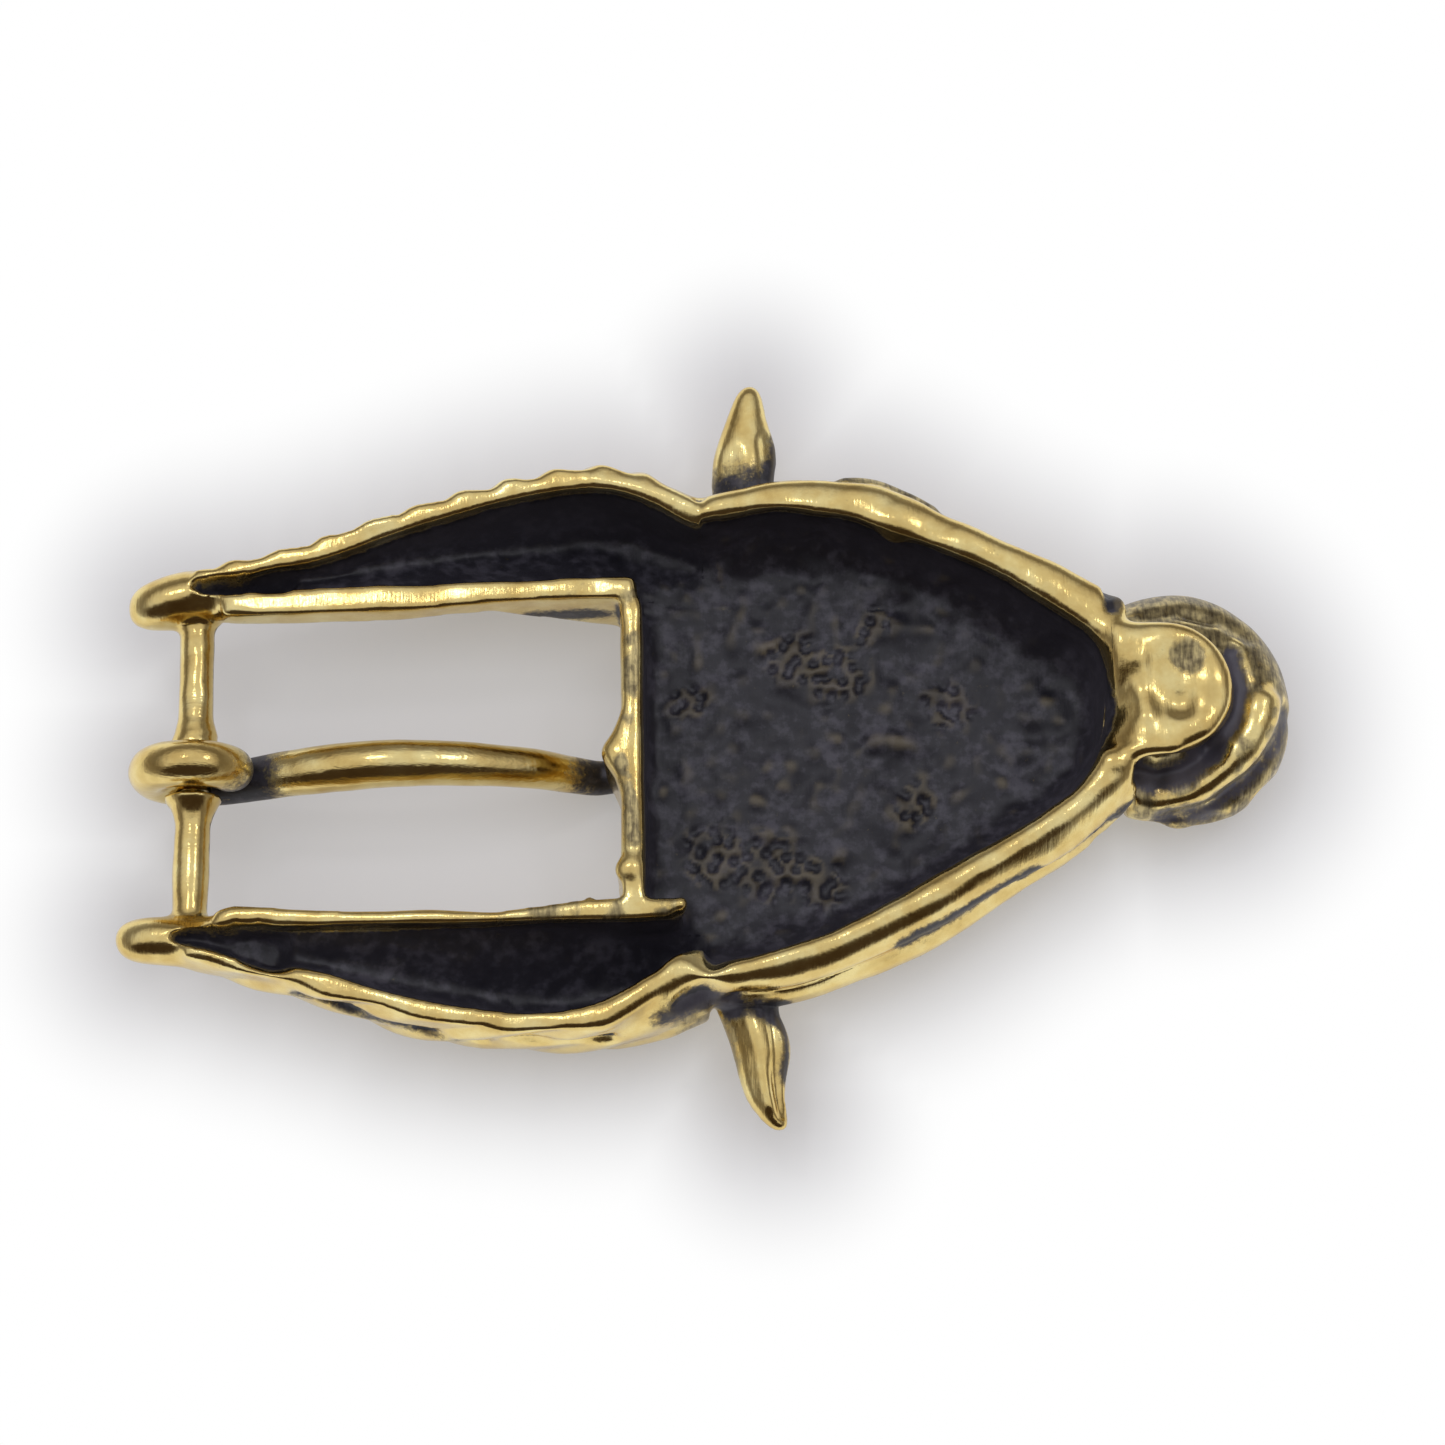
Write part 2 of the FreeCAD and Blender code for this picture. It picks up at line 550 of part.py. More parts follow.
# Ears: leaves that stand out sideways from the head, behind the horns.
UPPER_EAR_SHARES = [
    # Y, X and half sizes along and up as shares of the length, height as a share of the rim's
    (0.205, 0.032, 0.030, 0.026, 0.500),
    (0.245, 0.033, 0.028, 0.022, 0.515),
    (0.285, 0.036, 0.023, 0.017, 0.536),
    (0.315, 0.038, 0.014, 0.012, 0.557),
    (0.3270, 0.0395, 0.0085, 0.0075, 0.565),
    (0.3312, 0.0400, 0.0030, 0.0028, 0.565),
]
LOWER_EAR_SHARES = [
    (-0.205, 0.030, 0.032, 0.026, 0.500),
    (-0.245, 0.034, 0.026, 0.022, 0.515),
    (-0.285, 0.039, 0.021, 0.017, 0.536),
    (-0.315, 0.045, 0.014, 0.012, 0.557),
    (-0.3270, 0.0505, 0.0085, 0.0075, 0.565),
    (-0.3312, 0.0515, 0.0030, 0.0028, 0.565),
]


def ear(stations, head):
    rings = []
    for y, x, along, up, height in stations:
        centre = V(x * LENGTH, y * LENGTH, height * RIM)
        ring = Part.Ellipse(centre + AXIS_X * along * LENGTH, centre + AXIS_Z * up * LENGTH, centre)
        rings.append(Part.Wire([ring.toShape()]))
    leaf = Part.makeLoft(rings, True, False)
    # the root is soldered on: it ends where the head's outside begins
    rest = leaf.cut(head)
    return max(rest.Solids, key=lambda solid: abs(solid.Volume)).copy()


head_blank = head_outside()
chin_blank, _ = chin_plate()
upper_rail = rail("upper_side_rail", UPPER_SEAM_SHARES, UPPER_RAIL_SHARES, UPPER_RAIL_END_SHARE)
lower_rail = rail("lower_side_rail", LOWER_SEAM_SHARES, LOWER_RAIL_SHARES, LOWER_RAIL_END_SHARE)
pieces = [
    loose_shape("face_shell", face_shell([upper_rail.Shape, lower_rail.Shape, chin_blank])),
    loose_shape("muzzle", muzzle(chin_blank)),
    loose_shape("chin_pad", chin_pad()),
    loose_shape("upper_ear", ear(UPPER_EAR_SHARES, head_blank)),
    loose_shape("lower_ear", ear(LOWER_EAR_SHARES, head_blank)),
    loose_shape("upper_horn",
                horn(UPPER_HORN_SHARES, UPPER_TIP_SHARES, UPPER_SEAM_SHARES, 1, UPPER_BAR_END)),
    loose_shape("lower_horn",
                horn(LOWER_HORN_SHARES, LOWER_TIP_SHARES, LOWER_SEAM_SHARES, -1, LOWER_BAR_END)),
    upper_rail,
    lower_rail,
    cross_bar(),
    hinge_bar(),
    collar("upper_collar", 1, UPPER_FLARE_SHARES),
    collar("lower_collar", -1, LOWER_FLARE_SHARES),
    loose_shape("tongue", tongue()),
]
doc.recompute()

for item in doc.Objects:
    if "Invalid" in item.State or "Error" in item.State:
        raise RuntimeError("object in error: " + item.Name)
for piece in pieces:
    shape = piece.Shape
    if shape.isNull() or not shape.isValid():
        raise RuntimeError("bad shape: " + piece.Label)
    if len(shape.Solids) != 1:
        raise RuntimeError("%s has %d solids" % (piece.Label, len(shape.Solids)))
    shape.exportStep("parts/%s.step" % piece.Label)
    print("%-18s %8.1f mm3" % (piece.Label, shape.Volume))
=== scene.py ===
import json
import math

import bpy
import numpy as np
from mathutils import Euler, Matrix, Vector
from mathutils.kdtree import KDTree

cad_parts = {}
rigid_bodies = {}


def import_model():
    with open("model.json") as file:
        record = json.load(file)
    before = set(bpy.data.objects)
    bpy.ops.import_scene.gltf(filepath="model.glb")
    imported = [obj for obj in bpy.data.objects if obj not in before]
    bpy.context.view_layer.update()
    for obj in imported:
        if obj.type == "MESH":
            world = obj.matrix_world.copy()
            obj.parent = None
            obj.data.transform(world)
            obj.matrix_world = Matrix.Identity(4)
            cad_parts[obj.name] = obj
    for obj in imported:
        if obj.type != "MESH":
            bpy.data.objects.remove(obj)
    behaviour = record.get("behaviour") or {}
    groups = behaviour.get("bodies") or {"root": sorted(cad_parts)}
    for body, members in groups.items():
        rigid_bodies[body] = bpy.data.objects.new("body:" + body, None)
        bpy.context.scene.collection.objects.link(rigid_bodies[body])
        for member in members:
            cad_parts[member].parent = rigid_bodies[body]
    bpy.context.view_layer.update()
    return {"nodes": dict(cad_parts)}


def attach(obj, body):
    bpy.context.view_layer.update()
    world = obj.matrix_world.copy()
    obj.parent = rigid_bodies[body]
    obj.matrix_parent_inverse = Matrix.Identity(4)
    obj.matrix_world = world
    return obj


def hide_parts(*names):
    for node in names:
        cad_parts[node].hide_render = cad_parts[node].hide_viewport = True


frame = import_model()

# The casting: head, muzzle, horns, rails, cross bar and hinge bar were modelled in wax as one
# form and cast in bronze. The solids' meshes are joined here into that one wax, so that every
# form runs into the next one, and the sections below work each form in it before it is cut apart.
MM = 0.001
WAX_NODES = ("face_shell", "muzzle", "chin_pad", "upper_ear", "lower_ear", "upper_horn", "lower_horn",
             "upper_side_rail", "lower_side_rail", "cross_bar", "hinge_bar", "upper_collar", "lower_collar")
WAX_GRAIN = 0.27            # mm between the wax's points
RIM_HEIGHT = 15.0           # mm above the table, as all heights below


def copy_of(node_names):
    """One mesh of several CAD nodes' meshes, with its doubled points merged."""
    points, faces, first = [], [], 0
    for name in node_names:
        source = frame["nodes"][name].data
        places = np.zeros(len(source.vertices) * 3)
        source.vertices.foreach_get("co", places)
        keys, index = np.unique(np.round(places.reshape(-1, 3) * 1e7).astype(np.int64), axis=0,
                                return_inverse=True)
        source.calc_loop_triangles()
        corners = np.zeros(len(source.loop_triangles) * 3, dtype=np.int64)
        source.loop_triangles.foreach_get("vertices", corners)
        triangles = index.reshape(-1)[corners].reshape(-1, 3)
        kept = ((triangles[:, 0] != triangles[:, 1]) & (triangles[:, 1] != triangles[:, 2])
                & (triangles[:, 2] != triangles[:, 0]))
        points.append(keys / 1e7)
        faces.append(triangles[kept] + first)
        first += len(keys)
    mesh = bpy.data.meshes.new("joined")
    mesh.from_pydata(np.concatenate(points).tolist(), [], np.concatenate(faces).tolist())
    return mesh


def finished(mesh, *changes):
    """The mesh after modifiers, each given as its kind and its settings."""
    helper = bpy.data.objects.new("helper", mesh)
    bpy.context.scene.collection.objects.link(helper)
    for kind, settings in changes:
        modifier = helper.modifiers.new(kind.lower(), kind)
        for key, value in settings.items():
            if key.startswith("Socket_"):
                modifier[key] = value
            else:
                setattr(modifier, key, value)
    evaluated = helper.evaluated_get(bpy.context.evaluated_depsgraph_get())
    result = bpy.data.meshes.new_from_object(evaluated)
    bpy.data.objects.remove(helper)
    return result


def ease(values, low, high):
    """0 below low, 1 above high, and a smooth way between."""
    t = np.clip((values - low) / (high - low), 0, 1)
    return t * t * (3 - 2 * t)


def wander(points, cell, seed):
    """Smooth noise from -1 to 1 with cells of a size in mm, turned so that no row of them shows."""
    table = np.random.default_rng(seed).uniform(-1, 1, (32, 32, 32))
    scaled = points @ np.array(Euler((0.6 + seed, 0.9, 0.4 + seed)).to_matrix()) / cell + 100.0
    base = np.floor(scaled).astype(np.int64)
    part = scaled - base
    part = part * part * (3 - 2 * part)
    total = np.zeros(len(points))
    for corner in np.ndindex(2, 2, 2):
        weight = np.prod(np.where(corner, part, 1 - part), axis=1)
        total += weight * table[tuple(((base + corner) % 32).T)]
    return total


def inside(points, outline):
    """Which points lie inside an outline in plan."""
    result = np.zeros(len(points), dtype=bool)
    px, py = points[:, 0], points[:, 1]
    for (x0, y0), (x1, y1) in zip(outline, outline[1:] + outline[:1]):
        if y0 != y1:
            result ^= ((y0 > py) != (y1 > py)) & (px < (x1 - x0) * (py - y0) / (y1 - y0) + x0)
    return result


class Wax:
    """A mesh worked in millimetres, with numbers kept for its points."""

    def __init__(self, mesh, grain):
        self.mesh = finished(mesh, ("REMESH", dict(mode="VOXEL", voxel_size=grain * MM)))
        self.read()

    def read(self):
        """Takes the points and the edges from the mesh."""
        self.count = len(self.mesh.vertices)
        flat = np.zeros(self.count * 3)
        self.mesh.vertices.foreach_get("co", flat)
        self.at = flat.reshape(-1, 3) / MM
        ends = np.zeros(len(self.mesh.edges) * 2, dtype=np.int64)
        self.mesh.edges.foreach_get("vertices", ends)
        self.ends = ends.reshape(-1, 2)
        self.degree = np.bincount(ends, minlength=self.count).astype(float)

    def mean(self, values):
        """For each point, the mean of its neighbours' values."""
        one, two = self.ends[:, 0], self.ends[:, 1]
        sums = [np.bincount(one, column[two], self.count) + np.bincount(two, column[one], self.count)
                for column in values.T]
        return np.stack(sums, 1) / self.degree[:, None]

    def melt(self, rounds, share=1.0):
        """Rounds edges off: each point moves halfway to its neighbours' mean, or by a share of that."""
        share = np.broadcast_to(share, (self.count,))[:, None]
        for _ in range(rounds):
            self.at = self.at + 0.5 * share * (self.mean(self.at) - self.at)

    def write(self):
        """Puts the points back into the mesh."""
        self.mesh.vertices.foreach_set("co", (self.at * MM).reshape(-1))
        self.mesh.update()

    def normals(self):
        """Which way the surface faces at each point."""
        self.write()
        flat = np.zeros(self.count * 3)
        self.mesh.vertex_normals.foreach_get("vector", flat)
        return flat.reshape(-1, 3)

    def swell(self, amounts):
        """Moves the surface out by amounts in mm, or in where they are less than 0."""
        self.at = self.at + self.normals() * amounts[:, None]

    def hollowness(self, rounds):
        """How far each point lies below its surroundings, in mm: more than 0 in a groove."""
        spread = self.at
        for _ in range(rounds):
            spread = self.mean(spread)
        return ((spread - self.at) * self.normals()).sum(1)

    def near_points(self, dabs, stretch=(1.0, 1.0, 1.0)):
        """Sums soft dabs, each (x, y, z, radius, amount)."""
        total = np.zeros(self.count)
        for px, py, pz, radius, amount in dabs:
            away = np.linalg.norm((self.at - (px, py, pz)) * stretch, axis=1) / radius
            total += amount * np.clip(1 - away * away, 0, 1) ** 2
        return total

    def near_line(self, line, radius, amount, flat=False, at=None):
        """A soft ridge or groove along a line. A flat one is measured in plan, and its line has no Z.
        Where at is given, the line is measured in those places instead of the points' own."""
        line = np.array(line, float)
        if at is None:
            at = self.at[:, :2] if flat else self.at
        low, high = line.min(0) - radius, line.max(0) + radius
        chosen = np.flatnonzero(((at > low) & (at < high)).all(1))
        best = np.full(len(chosen), 1e9)
        for start, end in zip(line, line[1:]):
            step = end - start
            t = np.clip(((at[chosen] - start) @ step) / (step @ step), 0, 1)
            best = np.minimum(best, np.linalg.norm(at[chosen] - start - t[:, None] * step, axis=1))
        total = np.zeros(self.count)
        total[chosen] = amount * np.clip(1 - (best / radius) ** 2, 0, 1) ** 2
        return total


wax = Wax(copy_of(WAX_NODES), WAX_GRAIN)
wax.melt(5)


# Cast bronze: about nine parts copper to one of tin, lost-wax cast, blackened with liver of
# sulphur and polished again on all that a wheel reaches. To the eye it is a pale warm gold mirror
# with fine marks on it, and a blue-black skin, dull and a little lumpy, in every hollow.
def linear(hex_colour):
    """An sRGB hex colour as linear values."""
    parts = [int(hex_colour[i:i + 2], 16) / 255 for i in (1, 3, 5)]
    return tuple(p / 12.92 if p <= 0.04045 else ((p + 0.055) / 1.055) ** 2.4 for p in parts) + (1.0,)


def node(owner, kind, settings=None, links=None):
    """Adds a node: settings go by attribute or input, or as a ramp's stops, links from input to output."""
    tree = getattr(owner, "node_tree", owner)
    made = tree.nodes.new(kind)
    for key, value in (settings or {}).items():
        if key == "stops":
            while len(made.color_ramp.elements) < len(value):
                made.color_ramp.elements.new(0.5)
            for element, (position, hex_colour) in zip(made.color_ramp.elements, value):
                element.position, element.color = position, linear(hex_colour)
        elif isinstance(key, int) or key in made.inputs:
            made.inputs[key].default_value = value
        else:
            setattr(made, key, value)
    for key, output in (links or {}).items():
        tree.links.new(output, made.inputs[key])
    return made


def bronze(name, marks_on_x, marks_on_yz, smooth, rough):
    """The polishing marks are so many mm apart along X, and along Y and Z. The polish has a roughness
    between smooth and rough."""
    metal = bpy.data.materials.new(name)
    metal.use_nodes = True
    metal.node_tree.nodes.clear()
    place = node(metal, "ShaderNodeTexCoord").outputs["Object"]
    in_mm = node(metal, "ShaderNodeMapping", {"Scale": (1000, 1000, 1000)}, {"Vector": place}).outputs[0]
    dark, worn, dull = [node(metal, "ShaderNodeAttribute", {"attribute_name": title}).outputs["Fac"]
                        for title in ("patina", "wear", "dull")]
    cloud, lumps, speck = [
        node(metal, "ShaderNodeTexNoise", {"Scale": scale, "Detail": detail, "Roughness": roughness},
             {"Vector": in_mm}).outputs["Fac"]
        for scale, detail, roughness in ((0.30, 5.0, 0.55), (0.9, 4.0, 0.55), (2.6, 5.0, 0.68))]
    stretch = (1000 / marks_on_x, 1000 / marks_on_yz, 1000 / marks_on_yz)
    along = node(metal, "ShaderNodeMapping", {"Scale": stretch}, {"Vector": place}).outputs[0]
    marks = node(metal, "ShaderNodeTexNoise", {"Scale": 1.0, "Detail": 3.0, "Roughness": 0.6},
                 {"Vector": along}).outputs["Fac"]
    # the polish: pale gold, a little browner where the alloy's skin is older, with small dull stains
    gold = node(metal, "ShaderNodeValToRGB",
                {"stops": ((0.32, "#CDB06C"), (0.50, "#DEC581"), (0.68, "#EAD899"))},
                {"Fac": cloud}).outputs[0]
    stain = node(metal, "ShaderNodeMapRange", {"From Min": 0.67, "From Max": 0.75, "To Max": 0.5},
                 {"Value": speck}).outputs[0]
    gold = node(metal, "ShaderNodeMix", {"data_type": "RGBA", 7: linear("#6B5A3C")},
                {"Factor": stain, 6: gold}).outputs[2]
    # where only the brush went: a grey tan with darker smears
    brush = node(metal, "ShaderNodeMix", {"data_type": "FLOAT", "Factor": 0.45},
                 {2: lumps, 3: marks}).outputs[0]
    tan = node(metal, "ShaderNodeValToRGB",
               {"stops": ((0.38, "#574D3C"), (0.50, "#8E8160"), (0.60, "#BDAC7C"))},
               {"Fac": brush}).outputs[0]
    brushed = node(metal, "ShaderNodeMath", {"operation": "MULTIPLY_ADD", 1: 1.3, 2: -0.65},
                   {0: lumps}).outputs[0]
    brushed = node(metal, "ShaderNodeMath", {"operation": "ADD"}, {0: dull, 1: brushed}).outputs[0]
    brushed = node(metal, "ShaderNodeMapRange", {"interpolation_type": "SMOOTHSTEP", "From Min": 0.30,
                                                 "From Max": 0.75}, {"Value": brushed}).outputs[0]
    bright = node(metal, "ShaderNodeMix", {"data_type": "RGBA"},
                  {"Factor": brushed, 6: gold, 7: tan}).outputs[2]
    # the patina's edge is soft and ragged, as the wheel left it
    ragged = node(metal, "ShaderNodeMath", {"operation": "ADD"}, {0: speck, 1: lumps}).outputs[0]
    ragged = node(metal, "ShaderNodeMath", {"operation": "MULTIPLY_ADD", 1: 0.8, 2: -0.80},
                  {0: ragged}).outputs[0]
    edge = node(metal, "ShaderNodeMath", {"operation": "ADD"}, {0: dark, 1: ragged}).outputs[0]
    cover = node(metal, "ShaderNodeMapRange", {"interpolation_type": "SMOOTHSTEP", "From Min": 0.20,
                                               "From Max": 0.82}, {"Value": edge}).outputs[0]
    smoke = node(metal, "ShaderNodeMath", {"operation": "ADD"}, {0: lumps, 1: cloud}).outputs[0]
    smoke = node(metal, "ShaderNodeMath", {"operation": "MULTIPLY", 1: 0.5}, {0: smoke}).outputs[0]
    # the patina: blue-black with greyer clouds, grey where it is dull and as painted light on the hollow's
    # steep walls, brown where it is rubbed through
    black = node(metal, "ShaderNodeValToRGB",
                 {"stops": ((0.37, "#22212A"), (0.49, "#2C2B34"), (0.61, "#4E4C57"))},
                 {"Fac": smoke}).outputs[0]
    black = node(metal, "ShaderNodeMix", {"data_type": "RGBA", 7: linear("#5E5B67")},
                 {"Factor": dull, 6: black}).outputs[2]
    rubbed = node(metal, "ShaderNodeMath", {"operation": "MULTIPLY", 1: 0.55}, {0: worn}).outputs[0]
    black = node(metal, "ShaderNodeMix", {"data_type": "RGBA", 7: linear("#85785C")},
                 {"Factor": rubbed, 6: black}).outputs[2]
    colour = node(metal, "ShaderNodeMix", {"data_type": "RGBA"},
                  {"Factor": cover, 6: bright, 7: black}).outputs[2]
    polished = node(metal, "ShaderNodeMapRange", {"From Min": 0.3, "From Max": 0.7, "To Min": smooth,
                                                  "To Max": rough}, {"Value": speck}).outputs[0]
    roughness = node(metal, "ShaderNodeMix", {"data_type": "FLOAT", 3: 0.36},
                     {"Factor": brushed, 2: polished}).outputs[0]
    roughness = node(metal, "ShaderNodeMix", {"data_type": "FLOAT", 3: 0.44},
                     {"Factor": cover, 2: roughness}).outputs[0]
    metallic = node(metal, "ShaderNodeMapRange", {"To Min": 1.0, "To Max": 0.15},
                    {"Value": cover}).outputs[0]
    fine = node(metal, "ShaderNodeBump", {"Strength": 0.55, "Distance": 0.045 * MM},
                {"Height": marks}).outputs[0]
    coarse = node(metal, "ShaderNodeBump", {"Strength": 0.30, "Distance": 0.10 * MM},
                  {"Height": lumps, "Normal": fine}).outputs[0]
    shader = node(metal, "ShaderNodeBsdfPrincipled", {}, {"Base Color": colour, "Roughness": roughness,
                                                          "Metallic": metallic, "Normal": coarse}).outputs[0]
    node(metal, "ShaderNodeOutputMaterial", {}, {"Surface": shader})
    return metal


# on the casting the marks run across the buckle, on the rod and the bar along it
cast_bronze = bronze("blackened_and_buffed_cast_bronze", 0.30, 2.2, 0.12, 0.24)
rod_bronze = bronze("buffed_bronze_rod", 1.8, 0.25, 0.10, 0.20)

# Face shell: the goat's head is a hollow shell of cast bronze, about 2 mm thick. Its edge is a
# full bead that the wax tool pushed about; its inside shows lumps and clusters of small pits from
# the investment, and its front carries the face.
HEAD_INSIDE = [(-9.0, 14.0), (-3.0, 14.9), (-0.5, 19.6), (5.5, 20.3), (9.4, 20.4), (13.3, 18.8), (19.1, 17.0),
               (24.9, 14.8), (29.2, 12.5), (33.9, 9.1), (36.1, 3.3), (35.2, -1.5), (32.7, -5.7), (27.5, -9.5),
               (21.8, -12.7), (16.5, -15.9), (10.2, -17.7), (5.8, -19.5), (-1.2, -21.6), (-3.0, -17.0),
               (-6.0, -15.6), (-6.0, 12.6)]
# the bead stands highest near its inner edge: the lower one slopes away from it, the upper one hardly
LOWER_CREST = [(-1.5, -22.9), (1.8, -22.2), (7.5, -20.4), (12.9, -18.5), (18.2, -16.5), (21.9, -14.3),
               (26.5, -11.6), (31.1, -8.5), (36.0, -4.2)]
UPPER_CREST = [(-0.5, 20.8), (2.1, 21.2), (6.5, 21.5), (13.1, 20.2), (17.7, 19.2), (23.1, 16.8), (27.6, 14.8),
               (32.0, 12.0), (37.0, 8.4)]
LOWER_BEAD, UPPER_BEAD = (5.6, 2.6, 2.35), (6.0, 0.9, 0.60)     # mm: half width, height, sunk by
CORE_TOP = 11.0             # mm, up to which the hollow has the core's own surface
RIM_END = (-0.6, -22.0, 14.5)
# the bead, where it was pinched and where it swells: x, y, z, radius and amount in mm
RIM_DABS = [
    (1.5, 21.3, 14.5, 3.2, 0.25), (7.2, 22.4, 14.5, 3.6, -0.15), (9.0, 20.2, 14.2, 2.6, 0.20),
    (13.2, 19.6, 14.6, 2.8, -0.22), (15.0, 22.4, 12.5, 3.6, 0.30), (17.6, 19.4, 14.6, 2.6, 0.22),
    (21.0, 19.2, 14.0, 2.8, -0.15), (24.0, 17.6, 14.6, 3.0, 0.15), (27.6, 14.6, 14.0, 1.3, -0.40),
    (31.0, 14.2, 14.5, 2.8, 0.18), (1.0, -22.4, 14.2, 3.0, 0.35), (9.8, -19.6, 14.4, 2.8, -0.15),
    (18.0, -16.6, 14.2, 2.8, -0.12), (24.0, -13.6, 14.8, 3.2, 0.15), (31.0, -8.6, 14.4, 2.8, 0.18)]
# creases where the bead was rolled, and the fold between it and the cheek: line, half width, amount
CREASES = [
    ([(24.0, -14.6, 14.6), (30.0, -11.2, 14.4), (35.5, -7.0, 13.6)], 1.1, -0.10),
    ([(2.0, -24.2, 11.8), (8.0, -23.6, 11.8), (15.0, -21.4, 11.6), (22.0, -17.8, 11.4), (29.0, -13.2, 11.2),
      (36.0, -8.6, 11.0)], 1.6, -0.75),
    ([(3.0, -24.0, 8.6), (10.0, -23.0, 8.8), (18.0, -20.0, 8.8), (26.0, -15.4, 8.8), (34.0, -10.4, 8.6)],
     1.7, 0.45),
    ([(12.0, 24.4, 8.6), (18.0, 23.0, 8.6), (24.0, 20.0, 8.6)], 2.0, 0.35),
    ([(9.5, 24.2, 13.4), (14.0, 23.4, 13.4), (18.5, 21.9, 13.2), (23.0, 19.6, 13.2)], 1.1, -0.50),
    ([(13.0, 24.6, 12.2), (17.0, 23.8, 12.2), (21.0, 22.0, 12.0)], 1.4, 0.45),
    ([(-2.6, -25.0, 13.6), (-0.9, -23.8, 13.6)], 1.9, -0.60),
    ([(-0.8, 23.2, 14.2), (-0.6, 21.2, 14.8), (-0.8, 19.4, 14.0)], 0.9, -0.45),
    ([(36.4, 14.2, 12.4), (36.6, 12.4, 14.4), (36.4, 10.6, 14.6)], 0.9, -0.75)]


def centre_line(along):
    """Y of the face's middle at a place along the buckle."""
    return np.interp(along, (0.0, 38.0, 54.0), (-1.5, 3.0, 2.9))


def ball(centre, radius, top):
    """1 round a centre and 0 past top times the radius."""
    return np.clip(top - np.linalg.norm(wax.at - centre, axis=1) / radius, 0, 1)


def blended(values, rounds):
    """Values of the wax's points, each blended with its neighbours'."""
    for _ in range(rounds):
        values = wax.mean(values[:, None])[:, 0]
    return values


x, y, z = wax.at.T
near_rim = ease(z, 10.8, 13.0) * ease(x, -3.0, 0.5) * (1 - ease(x, 36.5, 39.0))
lower_side = 1 - ease(y - centre_line(x), -2.0, 2.0)
wax.melt(30, near_rim * (0.45 + 0.55 * lower_side))
bead = 0
for share, crest, (half_width, height, sunk_by) in ((lower_side, LOWER_CREST, LOWER_BEAD),
                                                    (1 - lower_side, UPPER_CREST, UPPER_BEAD)):
    bead = bead + share * (wax.near_line(crest, half_width, height, flat=True) - sunk_by)
wax.at[:, 2] += bead * ease(wax.at[:, 2], 10.5, 13.5) * near_rim
wax.melt(10, near_rim)
# the core that left the hollow had no sharp corners
normal = wax.normals()
core = inside(wax.at + normal * 1.2, HEAD_INSIDE) & (wax.at[:, 2] < CORE_TOP) & (normal[:, 2] > -0.2)
wax.melt(70, blended(core * 1.0, 3))
# where a horn's channel opens into the head the core was smoothed by thumb
x, y, z = wax.at.T
opening = (np.abs(x) < 4.5) & (z < 13.2) & (z > 1.0) & (np.abs(y) < 24.5)
wax.melt(60, 1.0 * opening)
wax.melt(24, ball(RIM_END, 4.0, 1.3))
wax.swell(wax.near_points(RIM_DABS))
wax.swell(sum(wax.near_line(*crease) for crease in CREASES))

# the inside: lumps of the core
x, y, z = wax.at.T
facing_up = ease(wax.normals()[:, 2], 0.1, 0.5)
in_head = inside(wax.at + wax.normals() * 1.2, HEAD_INSIDE) & (z < 13.5)
lumpy = in_head * facing_up
wax.swell(lumpy * (0.42 * wander(wax.at, 3.4, 21) + 0.30 * wander(wax.at, 1.5, 22)))

# the front: the horns' roots run into the forehead
x, y, z = wax.at.T
wax.melt(40, (np.abs(x + 1.5) < 4.0) * (np.abs(y) > 13.0) * (wax.normals()[:, 2] < -0.35))
# brows, eyes, bridge of the nose, cheeks and the hair of the forehead
x = wax.at[:, 0]
front = (1 - ease(wax.normals()[:, 2], -0.45, 0.05)) * ease(x, -6.0, -5.0) * (1 - ease(x, 37.0, 39.0))
out = np.abs(wax.at[:, 1] - centre_line(x))     # mm from the face's middle
half_face = np.stack([x, out], 1)
EYE = (16.5, 12.4)          # mm along X, and out from the middle
from_eye = np.hypot((x - EYE[0] - 0.3 * (out - EYE[1])) / 1.5, out - EYE[1])
almond = (np.abs(x - EYE[0] - 0.3 * (out - EYE[1])) / 3.5) ** 1.5 + (np.abs(out - EYE[1]) / 2.0) ** 1.8
carving = 1.3 * np.exp(-(out / np.interp(x, (5, 20, 38), (4.4, 3.6, 3.0))) ** 2) * ease(x, 5.0, 11.0)
carving -= 0.6 * np.exp(-((out - 7.4) / 1.8) ** 2) * ease(x, 13.0, 18.0)
carving += 0.9 * np.exp(-((x - 26.0) / 5.0) ** 2 - ((out - 11.0) / 2.6) ** 2)
carving += 1.2 * np.clip(1 - almond, 0, 1) ** 0.7 - 0.45 * np.exp(-((almond - 1.05) / 0.16) ** 2)
carving += 0.8 * np.exp(-((almond - 1.6) / 0.35) ** 2)
carving -= 0.5 * np.exp(-((x - EYE[0]) / 1.3) ** 2 - ((out - EYE[1]) / 0.35) ** 2)
carving += wax.near_line([(9.0, 4.6), (10.0, 9.0), (12.2, 14.5), (17.0, 18.0)], 2.3, 1.1, at=half_face)
carving += wax.near_line([(20.5, 15.0), (24.0, 14.4), (28.5, 12.4)], 1.0, -0.5, at=half_face)
# the forelock's locks, and short hair all over
for lock in range(6):
    steps = [step / 8 for step in range(9)]
    line = [(-6.0 + (13.0 - 0.9 * lock) * t,
             0.5 + lock * (1.5 + 1.2 * math.sin(math.pi * t)) * (1 - 0.45 * t)) for t in steps]
    carving += wax.near_line(line, 0.95, 0.85, at=half_face)
hair = wander(wax.at * (0.22, 1.0, 0.4), 0.62, 71) * ease(from_eye, 3.6, 5.0) * ease(out, 2.5, 5.0)
